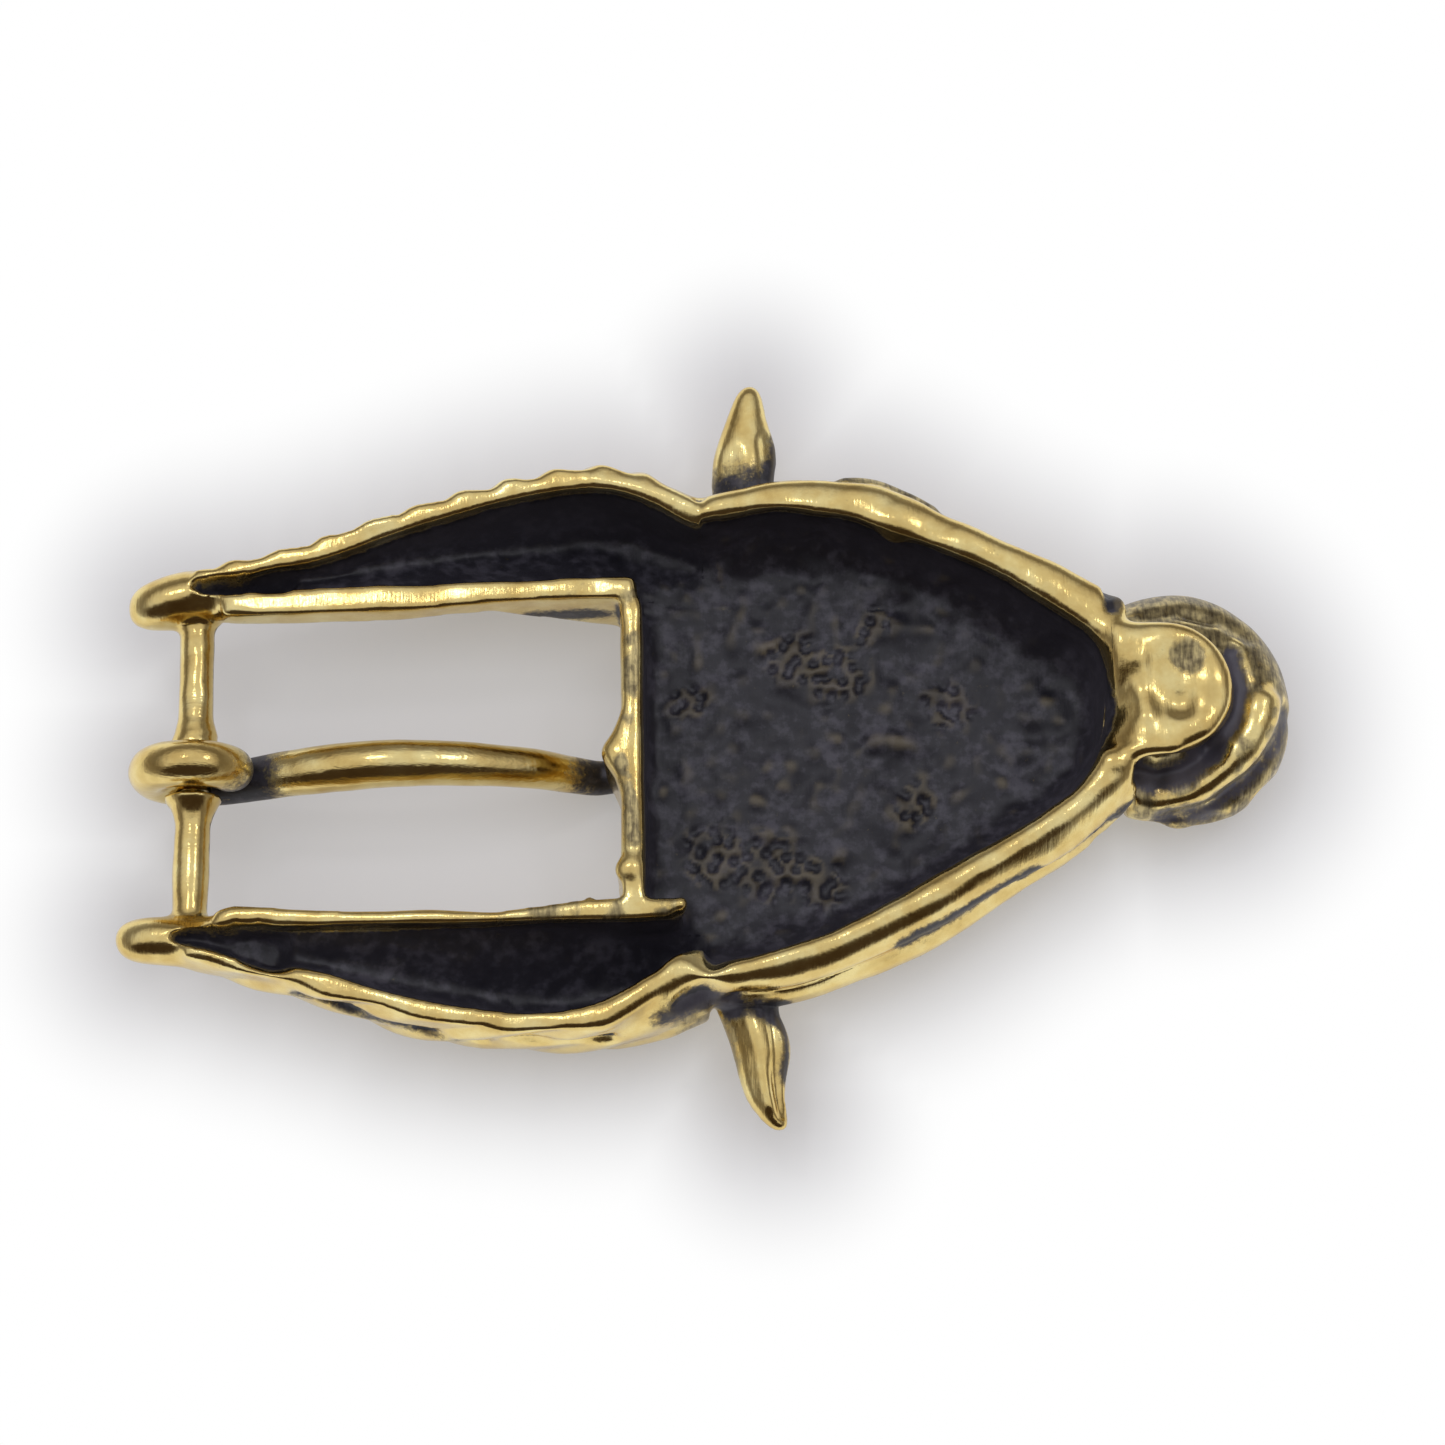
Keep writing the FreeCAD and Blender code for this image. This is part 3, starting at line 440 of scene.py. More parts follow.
# the forms are cut down into the front, so that the bridge and the brows stay where they were
sunk = 1 - ease(wax.normals()[:, 2], -0.85, -0.35)
sunk *= np.where(np.abs(wax.at[:, 1]) > 12.5, ease(x, -4.0, 5.0), 1.0)
wax.swell(np.clip((carving + 0.14 * hair) * front - sunk * front, -1.4, 1.3))

# Horns: two goat's horns, swept back and cast open behind. Their fronts are ringed with growth
# ribs, so that the polished lips run in scallops; each rib is a little different.
UPPER_HORN_LIP = [(-53.0, 13.5), (-49.4, 16.3), (-43.8, 16.5), (-39.0, 17.3), (-35.2, 18.6), (-31.0, 20.8),
                  (-26.2, 22.0), (-20.3, 23.1), (-17.2, 24.1), (-12.4, 24.9), (-7.5, 24.8), (-1.7, 22.0)]
LOWER_HORN_LIP = [(-53.0, -18.5), (-45.7, -20.6), (-38.1, -22.3), (-33.4, -23.8), (-27.7, -25.0),
                  (-22.8, -26.1), (-19.2, -27.2), (-13.1, -27.2), (-8.5, -26.4), (-4.8, -23.7), (-1.4, -22.0)]
UPPER_HORN_INSIDE = [(-47.6, 14.8), (-44.0, 15.1), (-40.3, 15.5), (-36.0, 16.6), (-31.6, 18.0), (-26.2, 19.9),
                     (-19.0, 22.0), (-11.7, 23.2), (-7.2, 23.1), (-2.7, 21.1), (0.0, 19.6), (2.0, 14.0),
                     (-7.0, 14.4), (-14.0, 14.6), (-30.0, 14.0), (-46.0, 13.8)]
LOWER_HORN_INSIDE = [(-48.6, -18.2), (-45.0, -19.2), (-41.0, -20.4), (-33.4, -22.2), (-25.8, -24.3),
                     (-17.2, -26.2), (-10.3, -25.9), (-6.1, -23.6), (-3.5, -21.3), (-1.2, -21.7),
                     (2.0, -17.0), (-3.0, -17.0), (-16.0, -17.7), (-30.0, -18.0), (-42.0, -17.4),
                     (-47.0, -17.5)]
# the channel's bottom rises towards the tip: places along X, and heights there
CHANNEL_BOTTOM = ((-49.0, -41.0, -38.0), (12.8, 10.6, 9.6))
RIB_SPACING = 4.4           # mm along the upper horn's lip
RIB_HEIGHT = 0.58           # mm, of a middling rib
# for each horn: its lip, its channel, the ribs' spacing against the upper horn's, how far they slant
# towards the tip for each mm down from the rim, and how strong they are
HORNS = ((UPPER_HORN_LIP, UPPER_HORN_INSIDE, 1.0, 0.5, 1.0),
         (LOWER_HORN_LIP, LOWER_HORN_INSIDE, 1.9, 1.6, 0.75))

# the tips were rolled over the hinge bar's ends and run smoothly into the rails and the lips
x, y, z = wax.at.T
tips = ease(-x, 41.0, 44.5) * np.maximum(ease(y, 10.0, 11.6), ease(-y, 14.4, 15.8))
wax.melt(26, tips)
# a horn's channel runs on between lip and rail, and rises to a point near the tip
for outline in (UPPER_HORN_INSIDE, LOWER_HORN_INSIDE):
    in_end = inside(wax.at, outline) & (wax.at[:, 0] < CHANNEL_BOTTOM[0][-1]) & (wax.at[:, 2] > 7.0)
    channel_end = blended(in_end * 1.0, 3)
    bottom = np.interp(wax.at[:, 0], *CHANNEL_BOTTOM)
    wax.at[:, 2] -= np.clip(wax.at[:, 2] - bottom, 0, 9.0) * ease(channel_end, 0.25, 0.75)
    wax.melt(6, channel_end * (wax.at[:, 2] < 13.4))


def in_channels(depth):
    """Which points face a horn's channel, judged by the place a depth in mm off the surface."""
    off = wax.at + wax.normals() * depth
    return inside(off, UPPER_HORN_INSIDE) | inside(off, LOWER_HORN_INSIDE)


core = in_channels(0.9) & (wax.at[:, 2] < CORE_TOP) & (wax.normals()[:, 2] > -0.2)
wax.melt(50, blended(core * 1.0, 3))

run = np.zeros(wax.count)
ribbed = np.zeros(wax.count)
normal = wax.normals()
for lip, channel, spread, slant, strength in HORNS:
    side = np.sign(lip[0][1])
    here = np.flatnonzero((wax.at[:, 0] < -1.0) & (wax.at[:, 1] * side > abs(lip[0][1]) - 1.5))
    best, place, passed = np.full(len(here), 1e9), np.zeros(len(here)), 0.0
    for start, end in zip(np.array(lip), np.array(lip)[1:]):
        step = end - start
        length = np.linalg.norm(step)
        t = np.clip(((wax.at[here, :2] - start) @ step) / length ** 2, 0, 1)
        away = np.linalg.norm(wax.at[here, :2] - start - t[:, None] * step, axis=1)
        place = np.where(away < best, passed + t * length, place)
        best = np.minimum(best, away)
        passed += length
    run[here] = (place + slant * (RIM_HEIGHT - wax.at[here, 2])) / spread
    outside = ~inside(wax.at[here] + normal[here] * 1.0, channel)
    outward = ease(side * normal[here, 1] - 0.6 * normal[here, 2], -0.25, 0.5)
    outward *= ease(side * wax.at[here, 1], abs(lip[0][1]) + 1.2, abs(lip[0][1]) + 2.8)
    # the ribs fade out at the tip and at the root
    along_lip = ease(place, 5.0, 11.0) * (1 - ease(place, passed - 5.0, passed - 1.0))
    ribbed[here] = strength * outside * outward * along_lip
ribbed = blended(ribbed, 3)

# pits from gas in the investment, in clusters on the head's floor: x, y and radius in mm
PIT_CLUSTERS = [(7.5, 9.2, 3.4), (12.0, 7.2, 3.6), (22.0, 4.2, 3.0), (0.5, -9.5, 3.6), (5.5, -11.0, 3.8),
                (10.0, -12.6, 3.0), (19.0, -5.0, 2.6), (-2.0, 5.0, 2.2), (15.5, 12.0, 2.0)]
floor_points = ease(wax.normals()[:, 2], 0.2, 0.6) * in_head
pitted = np.zeros(wax.count)
for px, py, radius in PIT_CLUSTERS:
    away = np.hypot(wax.at[:, 0] - px, wax.at[:, 1] - py) + 0.7 * wander(wax.at, 1.6, 41)
    pitted = np.maximum(pitted, 1 - ease(away, radius * 0.6, radius))
pitted = pitted * floor_points


def keep_number(mesh, title, values):
    """Stores a number for each point, for a tree or a material to read."""
    layer = mesh.attributes.new(title, "FLOAT", "POINT")
    layer.data.foreach_set("value", values)


wax.write()
for title, values in (("run", run), ("ribbed", ribbed), ("pitted", pitted)):
    keep_number(wax.mesh, title, values)


def rule(name, inputs):
    """A Geometry Nodes tree with named inputs: the tree, its inputs as outputs, and their identifiers."""
    tree = bpy.data.node_groups.new(name, "GeometryNodeTree")
    tree.interface.new_socket("Geometry", in_out="INPUT", socket_type="NodeSocketGeometry")
    identifiers = {title: tree.interface.new_socket(title, in_out="INPUT", socket_type=kind).identifier
                   for title, kind in inputs.items()}
    tree.interface.new_socket("Geometry", in_out="OUTPUT", socket_type="NodeSocketGeometry")
    return tree, node(tree, "NodeGroupInput").outputs, identifiers


def end_rule(tree, geometry, height, material):
    """Moves the surface along its normals by the height and gives the geometry out as real mesh."""
    normal = node(tree, "GeometryNodeInputNormal").outputs[0]
    shift = node(tree, "ShaderNodeVectorMath", {"operation": "SCALE"},
                 {0: normal, "Scale": height}).outputs[0]
    moved = node(tree, "GeometryNodeSetPosition", {}, {"Geometry": geometry, "Offset": shift}).outputs[0]
    real = node(tree, "GeometryNodeRealizeInstances", {}, {"Geometry": moved}).outputs[0]
    coated = node(tree, "GeometryNodeSetMaterial", {"Material": material}, {"Geometry": real}).outputs[0]
    node(tree, "NodeGroupOutput", {}, {"Geometry": coated})


growth, given, rib_inputs = rule("growth_ribs", {
    "Rib spacing": "NodeSocketFloat", "Rib height": "NodeSocketFloat", "Seed": "NodeSocketInt"})
run_field, ribbed_field = [
    node(growth, "GeometryNodeInputNamedAttribute", {"data_type": "FLOAT", "Name": title}).outputs[0]
    for title in ("run", "ribbed")]
turns = node(growth, "ShaderNodeMath", {"operation": "DIVIDE"},
             {0: run_field, 1: given["Rib spacing"]}).outputs[0]
rib_number = node(growth, "ShaderNodeMath", {"operation": "FLOOR"}, {0: turns}).outputs[0]
in_rib = node(growth, "ShaderNodeMath", {"operation": "FRACT"}, {0: turns}).outputs[0]
# a rib rises faster on the side of the tip and falls slowly towards the root
rise, fall = [
    node(growth, "ShaderNodeMapRange",
         {"interpolation_type": "SMOOTHSTEP", "From Min": start, "From Max": end,
          "To Min": low, "To Max": 1.0 - low}, {"Value": in_rib}).outputs[0]
    for start, end, low in ((0.0, 0.42, 0.0), (0.42, 1.0, 1.0))]
profile = node(growth, "ShaderNodeMath", {"operation": "MULTIPLY"}, {0: rise, 1: fall}).outputs[0]
profile = node(growth, "ShaderNodeMath", {"operation": "SUBTRACT", 1: 0.4}, {0: profile}).outputs[0]
height = node(growth, "FunctionNodeRandomValue", {"data_type": "FLOAT", 2: 0.55, 3: 1.25},
              {"ID": rib_number, "Seed": given["Seed"]}).outputs[1]
for factor in (given["Rib height"], ribbed_field, profile):
    height = node(growth, "ShaderNodeMath", {"operation": "MULTIPLY"}, {0: height, 1: factor}).outputs[0]
end_rule(growth, given["Geometry"], height, cast_bronze)

pits, given, pit_inputs = rule("investment_pits", {
    "Pits per metre": "NodeSocketFloat", "Pit depth": "NodeSocketFloat", "Seed": "NodeSocketFloat"})
pitted_field = node(pits, "GeometryNodeInputNamedAttribute",
                    {"data_type": "FLOAT", "Name": "pitted"}).outputs[0]
here = node(pits, "GeometryNodeInputPosition").outputs[0]
here = node(pits, "ShaderNodeVectorMath", {"operation": "ADD"}, {0: here, 1: given["Seed"]}).outputs[0]
cells = node(pits, "ShaderNodeTexVoronoi", {"voronoi_dimensions": "2D", "Randomness": 0.85},
             {"Vector": here, "Scale": given["Pits per metre"]}).outputs["Distance"]
# a pit is a small cup, and the metal between two pits stands up as a thin wall
height = node(pits, "ShaderNodeMapRange",
              {"interpolation_type": "SMOOTHSTEP", "From Min": 0.12, "From Max": 0.52,
               "To Min": -1.0, "To Max": 0.25}, {"Value": cells}).outputs[0]
for factor in (given["Pit depth"], pitted_field):
    height = node(pits, "ShaderNodeMath", {"operation": "MULTIPLY"}, {0: height, 1: factor}).outputs[0]
end_rule(pits, given["Geometry"], height, cast_bronze)

PITS_PER_METRE = 760.0      # one every 1.3 mm
PIT_DEPTH = 0.40            # mm
wax.mesh = finished(
    wax.mesh,
    ("NODES", {"node_group": growth, rib_inputs["Rib spacing"]: RIB_SPACING,
               rib_inputs["Rib height"]: RIB_HEIGHT * MM, rib_inputs["Seed"]: 4}),
    ("NODES", {"node_group": pits, pit_inputs["Pits per metre"]: PITS_PER_METRE,
               pit_inputs["Pit depth"]: PIT_DEPTH * MM, pit_inputs["Seed"]: 2.0}))
wax.read()

# the lower horn's lip rolls over in long folds, the upper one's root is pinched
HORN_FOLDS = [
    ([(-37.0, -22.9, 12.2), (-30.0, -24.6, 11.6), (-24.0, -26.0, 11.2), (-21.0, -26.8, 10.2)], 1.3, -0.75),
    ([(-22.0, -25.9, 12.4), (-15.0, -27.2, 11.6), (-9.5, -27.2, 10.8)], 1.3, -0.60),
    ([(-10.0, -26.2, 14.0), (-6.6, -24.0, 15.0), (-3.4, -21.8, 14.8)], 1.4, 0.35),
    ([(-33.0, 19.4, 15.0), (-29.0, 20.6, 15.0)], 0.9, 0.20),
    ([(-10.0, 24.0, 15.0), (-4.0, 22.4, 15.0), (0.0, 20.6, 15.0)], 1.2, 0.20)]
wax.swell(sum(wax.near_line(*fold) for fold in HORN_FOLDS))
in_channel = in_channels(0.8) & (wax.at[:, 2] < 14.2)
facing_up = ease(wax.normals()[:, 2], 0.1, 0.5)
wax.swell(in_channel * facing_up * (0.22 * wander(wax.at, 2.4, 31) + 0.12 * wander(wax.at, 1.1, 32)))

# Muzzle and chin pad: a blunt muzzle, and behind it the round pad that closes the rim. The pad
# was pressed on as a drop of wax: it overhangs the lips' folds and kept a few dents.
PAD_CENTRE = (41.06, 3.22)
PAD_RADIUS, PAD_UNDERSIDE = 6.9, 12.75
PAD_DABS = [
    (43.2, 6.0, 15.2, 2.2, -0.35), (42.4, 1.4, 15.2, 1.9, -0.42), (45.4, 3.8, 15.4, 2.6, 0.20),
    (38.0, 0.6, 15.2, 3.0, 0.30), (38.4, 6.6, 15.2, 2.6, 0.20), (44.6, -0.8, 15.4, 2.0, 0.20)]

x, y, z = wax.at.T
over_pad = np.hypot(x - PAD_CENTRE[0], y - PAD_CENTRE[1]) < 8.0
wax.melt(34, ease(z, 12.4, 13.2) * over_pad * ease(x, 34.0, 36.0))
top = ease(wax.normals()[:, 2], 0.0, 0.3)
pad_work = wax.near_points(PAD_DABS)
pad_work += wax.near_line([(38.8, 5.6, 15.4), (38.9, 2.6, 15.4), (39.4, 0.6, 15.4)], 1.4, 0.25)
pad_work += wax.near_line([(35.8, -3.4, 14.8), (38.4, -3.2, 15.0), (41.5, -3.2, 15.0)], 1.6, 0.40)
wax.swell(pad_work * top)
# the folds of the lips, seen past the pad's edge
LIP_FOLD = [(37.4, -3.2), (40.2, -4.4), (42.9, -4.0), (45.4, -2.2), (47.6, 0.6), (48.4, 3.6), (47.8, 7.0)]
LIP = [(39.0, -5.8), (41.0, -6.1), (45.2, -4.9), (48.8, -1.9), (50.4, 1.2), (50.6, 2.4)]
CHIN_FOLD = [(41.0, -7.4), (45.0, -6.9), (49.0, -4.4), (51.8, -1.0), (52.8, 2.0)]
under_pad = (1 - ease(wax.at[:, 2], 13.0, 13.6)) * ease(wax.at[:, 0], 36.5, 38.0)
folds = wax.near_line(LIP_FOLD[:4], 1.9, -1.1, flat=True)
folds += wax.near_line(LIP_FOLD[3:], 1.3, -0.7, flat=True)
folds += wax.near_line(LIP, 1.9, 0.75, flat=True)
folds += wax.near_line(CHIN_FOLD, 1.2, -0.60, flat=True)
folds += wax.near_line([(44.0, 11.6), (47.0, 10.8), (49.6, 9.0)], 1.3, -0.45, flat=True)
folds += wax.near_line([(40.0, 11.0), (43.0, 11.4), (46.0, 10.6)], 1.2, -0.35, flat=True)
wax.swell(folds * under_pad * ease(wax.normals()[:, 2], -0.2, 0.2))
# dents and swellings of the muzzle's side: x, y, z, radius and amount in mm
MUZZLE_DABS = [
    (50.8, -4.4, 6.0, 2.2, -1.20), (51.4, 5.0, 8.6, 2.0, -1.0), (52.2, 8.6, 6.0, 1.8, -0.7),
    (48.8, -7.6, 5.4, 1.8, 0.35), (42.8, -7.4, 6.0, 1.8, 0.35), (46.0, -7.4, 7.0, 1.6, -0.40)]
wax.swell(wax.near_points(MUZZLE_DABS))
# the front: the nostrils' slits with a raised wing each, the mouth's line, and the cleft between them
MUZZLE_MIDDLE = 2.9         # mm along Y
cuts = wax.near_line([(48.6, MUZZLE_MIDDLE), (52.6, MUZZLE_MIDDLE)], 0.8, -0.7, flat=True)
for side in (-1, 1):
    for line, radius, amount in (
            ([(45.4, 5.8), (47.6, 5.6), (49.6, 3.2)], 1.3, -1.2),
            ([(44.0, 7.4), (47.2, 7.4), (50.2, 4.6)], 1.2, 0.45),
            ([(41.0, 9.6), (46.0, 9.0), (50.0, 6.4), (52.0, 2.6), (52.3, 0.0)], 0.9, -0.85)):
        cuts += wax.near_line([(px, MUZZLE_MIDDLE + side * py) for px, py in line], radius, amount, flat=True)
wax.swell(cuts * (1 - ease(wax.normals()[:, 2], -0.35, -0.05)))

# Ears: two leaf-shaped ears, pinched from wax and stuck to the cheeks, so that they are cast with
# the head. Each has a groove down it on both sides, from the finger that bent it.
EAR_LINES = [
    ([(6.4, 25.0, 10.0), (6.2, 28.0, 10.0), (6.0, 29.6, 9.6)], 1.5, -0.45),
    ([(2.0, 25.5, 9.6), (2.6, 28.0, 10.0)], 1.6, -0.25),
    ([(5.2, -25.2, 10.0), (5.6, -28.5, 10.2), (5.6, -31.5, 9.8), (5.8, -34.0, 9.0)], 1.0, -0.55),
    ([(3.0, -25.0, 10.2), (3.8, -29.0, 10.6), (4.8, -33.2, 9.6)], 1.1, 0.30),
    ([(3.2, 26.0, 4.6), (3.9, 30.0, 5.2), (4.2, 33.5, 6.6)], 1.5, -0.65),
    ([(3.4, -26.0, 4.6), (4.4, -30.0, 5.2), (5.2, -33.5, 6.6)], 1.5, -0.65)]
wax.swell(sum(wax.near_line(*line) for line in EAR_LINES))

# Rails, cross bar and hinge bar: cast strips round the slot and a round bar between the horns' tips
# with a collar on each side of the tongue. They were filed by hand and stayed a little wavy, and a
# bead of wax sits near the cross bar's lower end.
JOINT_KNOB, JOINT_DIP = (-0.8, -20.8, 14.8, 2.6, 1.1), (-3.4, -21.2, 14.8, 1.8, -0.4)
# places that a thumb smoothed over, at the lower lip's ends and the cross bar's notch: centre, radius
SOFT_JOINTS = [((-1.4, -21.4, 14.6), 3.6), ((-38.2, -20.9, 14.0), 3.0), ((-9.8, -2.0, 13.6), 3.0)]
RAIL_CORNER, RAIL_END = (-6.3, 14.2, 14.8), (-2.6, -16.5, 14.0)
STRIP_DABS = [
    (-2.8, -17.7, 14.6, 1.6, -0.6), (-2.3, -16.0, 14.8, 1.4, 0.35), (-10.0, -2.0, 13.8, 2.6, 0.35),
    (-7.3, -12.7, 14.8, 1.7, 0.40), (-7.4, -15.0, 13.8, 1.3, -0.30), (-10.2, 13.6, 15.0, 2.2, -0.12),
    (-7.4, 13.7, 14.8, 1.8, 0.18), (-11.0, -15.3, 14.4, 0.7, 0.5), (-46.9, -15.2, 12.0, 1.6, 0.20),
    (-47.0, 10.8, 12.0, 1.8, 0.25), (-47.0, 4.6, 12.4, 1.6, -0.15), (-46.4, 7.8, 12.2, 1.4, 0.12),
    (-47.0, -10.0, 12.2, 2.4, -0.12)]
RAIL_BROADER = 0.45         # mm more of the lower rail on the slot's side

x, y, z = wax.at.T
# the cross bar's faces were rounded over with a file
wax.melt(16, (np.abs(x + 8.2) < 3.0) * ease(y, -12.5, -11.0) * (1 - ease(y, 10.0, 11.5)) * ease(z, 3.0, 5.0))
# the lower horn's lip ends in a small knob, and the head's rim starts behind a dip
wax.at[:, 1] -= wax.near_points([JOINT_KNOB, JOINT_DIP])
soft = sum(ball(place, radius, 1.4) for place, radius in SOFT_JOINTS)
wax.melt(30, np.clip(soft, 0, 1))
wax.melt(20, ball(RAIL_CORNER, 2.4, 1.4))
x, y, z = wax.at.T
broader = ease(x, -45.0, -42.0) * (1 - ease(x, -28.0, -16.0)) * ease(y, -17.4, -16.4) * (y < 0)
wax.at[:, 1] += RAIL_BROADER * broader * ease(z, 8.0, 12.0)
wax.melt(24, ball(RAIL_END, 4.0, 1.0))
wax.swell(wax.near_points(STRIP_DABS))

# all over: the wax was never quite even, but the bar is smooth where the tongue's eye goes round it
at_eye = (np.abs(wax.at[:, 0] + 47.0) < 3.0) & (wax.at[:, 1] > -5.5) & (wax.at[:, 1] < 1.0)
wax.swell((1 - 0.6 * lumpy) * (1 - 0.9 * at_eye) * (
    0.15 * wander(wax.at, 5.6, 5) + 0.06 * wander(wax.at, 2.6, 6) + 0.015 * wander(wax.at, 1.2, 7)))
wax.melt(1)
wax.at[:, 2] = np.clip(wax.at[:, 2], 0.02, RIM_HEIGHT + 1.0)

# Patina of the casting: liver of sulphur blackened all of it, and the wheel then took the black off
# what stands proud. Every hollow, groove and root stays dark, and where only the brush reached it is
# dull. Painted shade darkens the upper rail's side towards the slot, the slot's corner under it, and
# partly the notch under the lower horn's root; painted light greys the hollow's steep walls. Three
# numbers for each point carry this to the bronze's material: the patina with the painted shade, the
# wear, and the dullness with the painted light on the walls.
normal = wax.normals()
x, y, z = wax.at.T
moved_in = wax.at + normal * np.where(x < -39.0, 0.6, 1.4)[:, None]
in_hollow = np.any([inside(moved_in, outline)
                    for outline in (HEAD_INSIDE, UPPER_HORN_INSIDE, LOWER_HORN_INSIDE)], axis=0)
# the wheel reached further down on the lower rail
buffed_over = 0.7 * (y > -17.7) * (y < -15.0) * ease(x, -46.0, -43.0) * (1 - ease(x, -22.0, -14.0))
deep = 1 - ease(z + buffed_over, 13.2, 14.3)
patina = blended(in_hollow * deep * ease(normal[:, 2], -0.5, -0.2), 2)
groove = wax.hollowness(16) * (1 - 0.9 * ease(z, 13.4, 14.4) * (x > 36.5))
facing_back = ease(normal[:, 2], -0.35, 0.05)
DARK_FOLDS = [(LIP_FOLD[:4], 2.2, 0.95), (LIP_FOLD[3:], 1.5, 0.7), (CHIN_FOLD, 1.2, 0.7)]
ROOTS_AND_PAINTED_SHADE = [
    ([(2.0, 24.8, 9.0), (6.6, 25.4, 9.0)], 4.0, 0.95), ([(6.8, 25.0, 8.6), (6.8, 30.0, 8.6)], 1.9, 0.8),
    ([(1.6, -24.2, 9.4), (5.6, -24.6, 9.4)], 2.4, 1.2), ([(5.9, -26.0, 8.8), (6.3, -31.0, 8.8)], 1.1, 0.9),
    # partly the fold's patina, partly painted shadow under the lower horn's root
    ([(-4.6, -25.0, 12.0), (-1.4, -24.2, 12.6), (0.6, -24.8, 11.6)], 2.6, 1.0),
    ([(17.0, -19.4, 12.4), (23.5, -16.3, 12.4), (28.5, -13.4, 12.4)], 2.1, 1.2),
    ([(28.0, -12.6, 11.6), (33.0, -9.6, 11.6), (38.0, -7.0, 11.4)], 1.8, 0.9),
    ([(36.2, 13.4, 12.6), (36.8, 12.0, 14.4), (36.8, 10.8, 14.6)], 1.5, 1.3),
    ([(-45.2, 12.4, 10.4), (-45.3, 2.6, 10.4)], 1.3, 0.9),
    ([(-45.2, -6.4, 10.4), (-45.3, -15.0, 10.4)], 1.3, 0.8),
    # painted shade: the slot's corner under the upper rail and the upper rail's side towards the slot are
    # darkened as the shade there
    ([(-16.0, 12.0, 10.0), (-11.0, 12.2, 10.5), (-9.4, 11.0, 10.5)], 2.6, 1.0),
    ([(-44.0, 11.4, 11.5), (-30.0, 11.4, 11.0)], 1.0, 0.6),
    ([(-9.0, -15.2, 13.0), (-6.4, -14.8, 13.4)], 1.5, 1.2),
    ([(-37.0, -23.2, 11.8), (-30.0, -24.8, 11.2), (-22.0, -26.8, 10.4)], 1.6, 0.8)]
roots_and_shade = sum(wax.near_line(*fold, flat=True) for fold in DARK_FOLDS) * (z < 13.0) * facing_back
roots_and_shade += sum(wax.near_line(*root) for root in ROOTS_AND_PAINTED_SHADE)
# the dents of the muzzle's side
DARK_DABS = [(50.8, -4.4, 6.0, 2.2, 1.1), (51.2, 5.0, 8.6, 2.2, 1.1), (50.4, 9.4, 7.0, 1.8, 0.7)]
roots_and_shade += wax.near_points(DARK_DABS)
patina = np.clip(np.maximum(patina, ease(groove, 0.06, 0.30)) + roots_and_shade, 0, 1)
wear = ease(-wax.hollowness(6), 0.01, 0.10)
# inside the hollows it wore through in patches only, most of all round the pits
round_pits = sum(wax.near_points([(px, py, 3.0, 1.4 * radius, 0.75)], (1, 1, 0.2))
                 for px, py, radius in PIT_CLUSTERS)
in_horn = 1 - ease(x, -9.0, -4.0)
inner_wear = np.maximum(0.25 + 0.6 * ease(wander(wax.at, 2.6, 61), -0.4, 0.5), round_pits)
wear = wear * np.where(in_hollow, inner_wear * (1 - 0.85 * in_horn), 1.0)
# what only the brush reached: the muzzle's sides, the brow outside the rim, the cross bar's top, a
# dent of the chin pad and the rails' ends at the head
blotch = wander(wax.at, 2.0, 51)
dull = 0.85 * ease(x, 37.0, 39.0) * (z < 13.0) * ease(blotch, -0.9, -0.1) * (1 - 0.7 * ease(wear, 0.3, 0.9))
dull *= facing_back
BROW_LINE = [(12.0, 25.0, 12.2), (16.5, 24.1, 12.2), (20.5, 22.4, 12.2), (23.0, 20.8, 12.0)]
dull += 0.95 * wax.near_line(BROW_LINE, 2.0, 1.4)
grit = blotch + 0.7 * wander(wax.at, 0.9, 52)
middle = -7.1 - 1.1 * np.exp(-((y + 2.0) / 3.2) ** 2)
on_bar = (1 - ease(np.abs(x - middle), 0.45, 0.95)) * ease(y, -12.5, -10.0) * (1 - ease(y, 9.0, 12.0))
dull += 0.95 * on_bar * ease(z, 12.5, 13.8) * ease(grit, -0.85, -0.05)
dull += wax.near_points([(43.3, 5.9, 15.2, 2.8, 1.3), (37.6, 7.4, 15.0, 1.8, 0.8)])
on_rails = 0.85 * ease(x, -24.0, -15.0) * (x < -3.0) * (np.abs(y + 16.3) < 1.8)
on_rails += 0.8 * ease(x, -15.0, -10.0) * (x < -5.5) * (np.abs(y - 13.4) < 2.0)
dull += on_rails * (z > 13.5) * ease(grit, -0.6, 0.8)
# painted light: the hollow's steep walls get little light, so the patina there is greyed to stand in for it
steep = ease(normal[:, 2], -0.4, -0.2) * (1 - ease(normal[:, 2], 0.1, 0.9))
dull = blended(dull + 0.6 * in_hollow * (z < 13.0) * steep, 2)
# and dusty behind the lower ear
dull += 0.6 * ease(x, -6.0, -2.0) * (y < -21.0) * (z < 13.0) * (1 - ease(x, 1.5, 3.0)) * facing_back
dull = np.clip(dull, 0, 1)

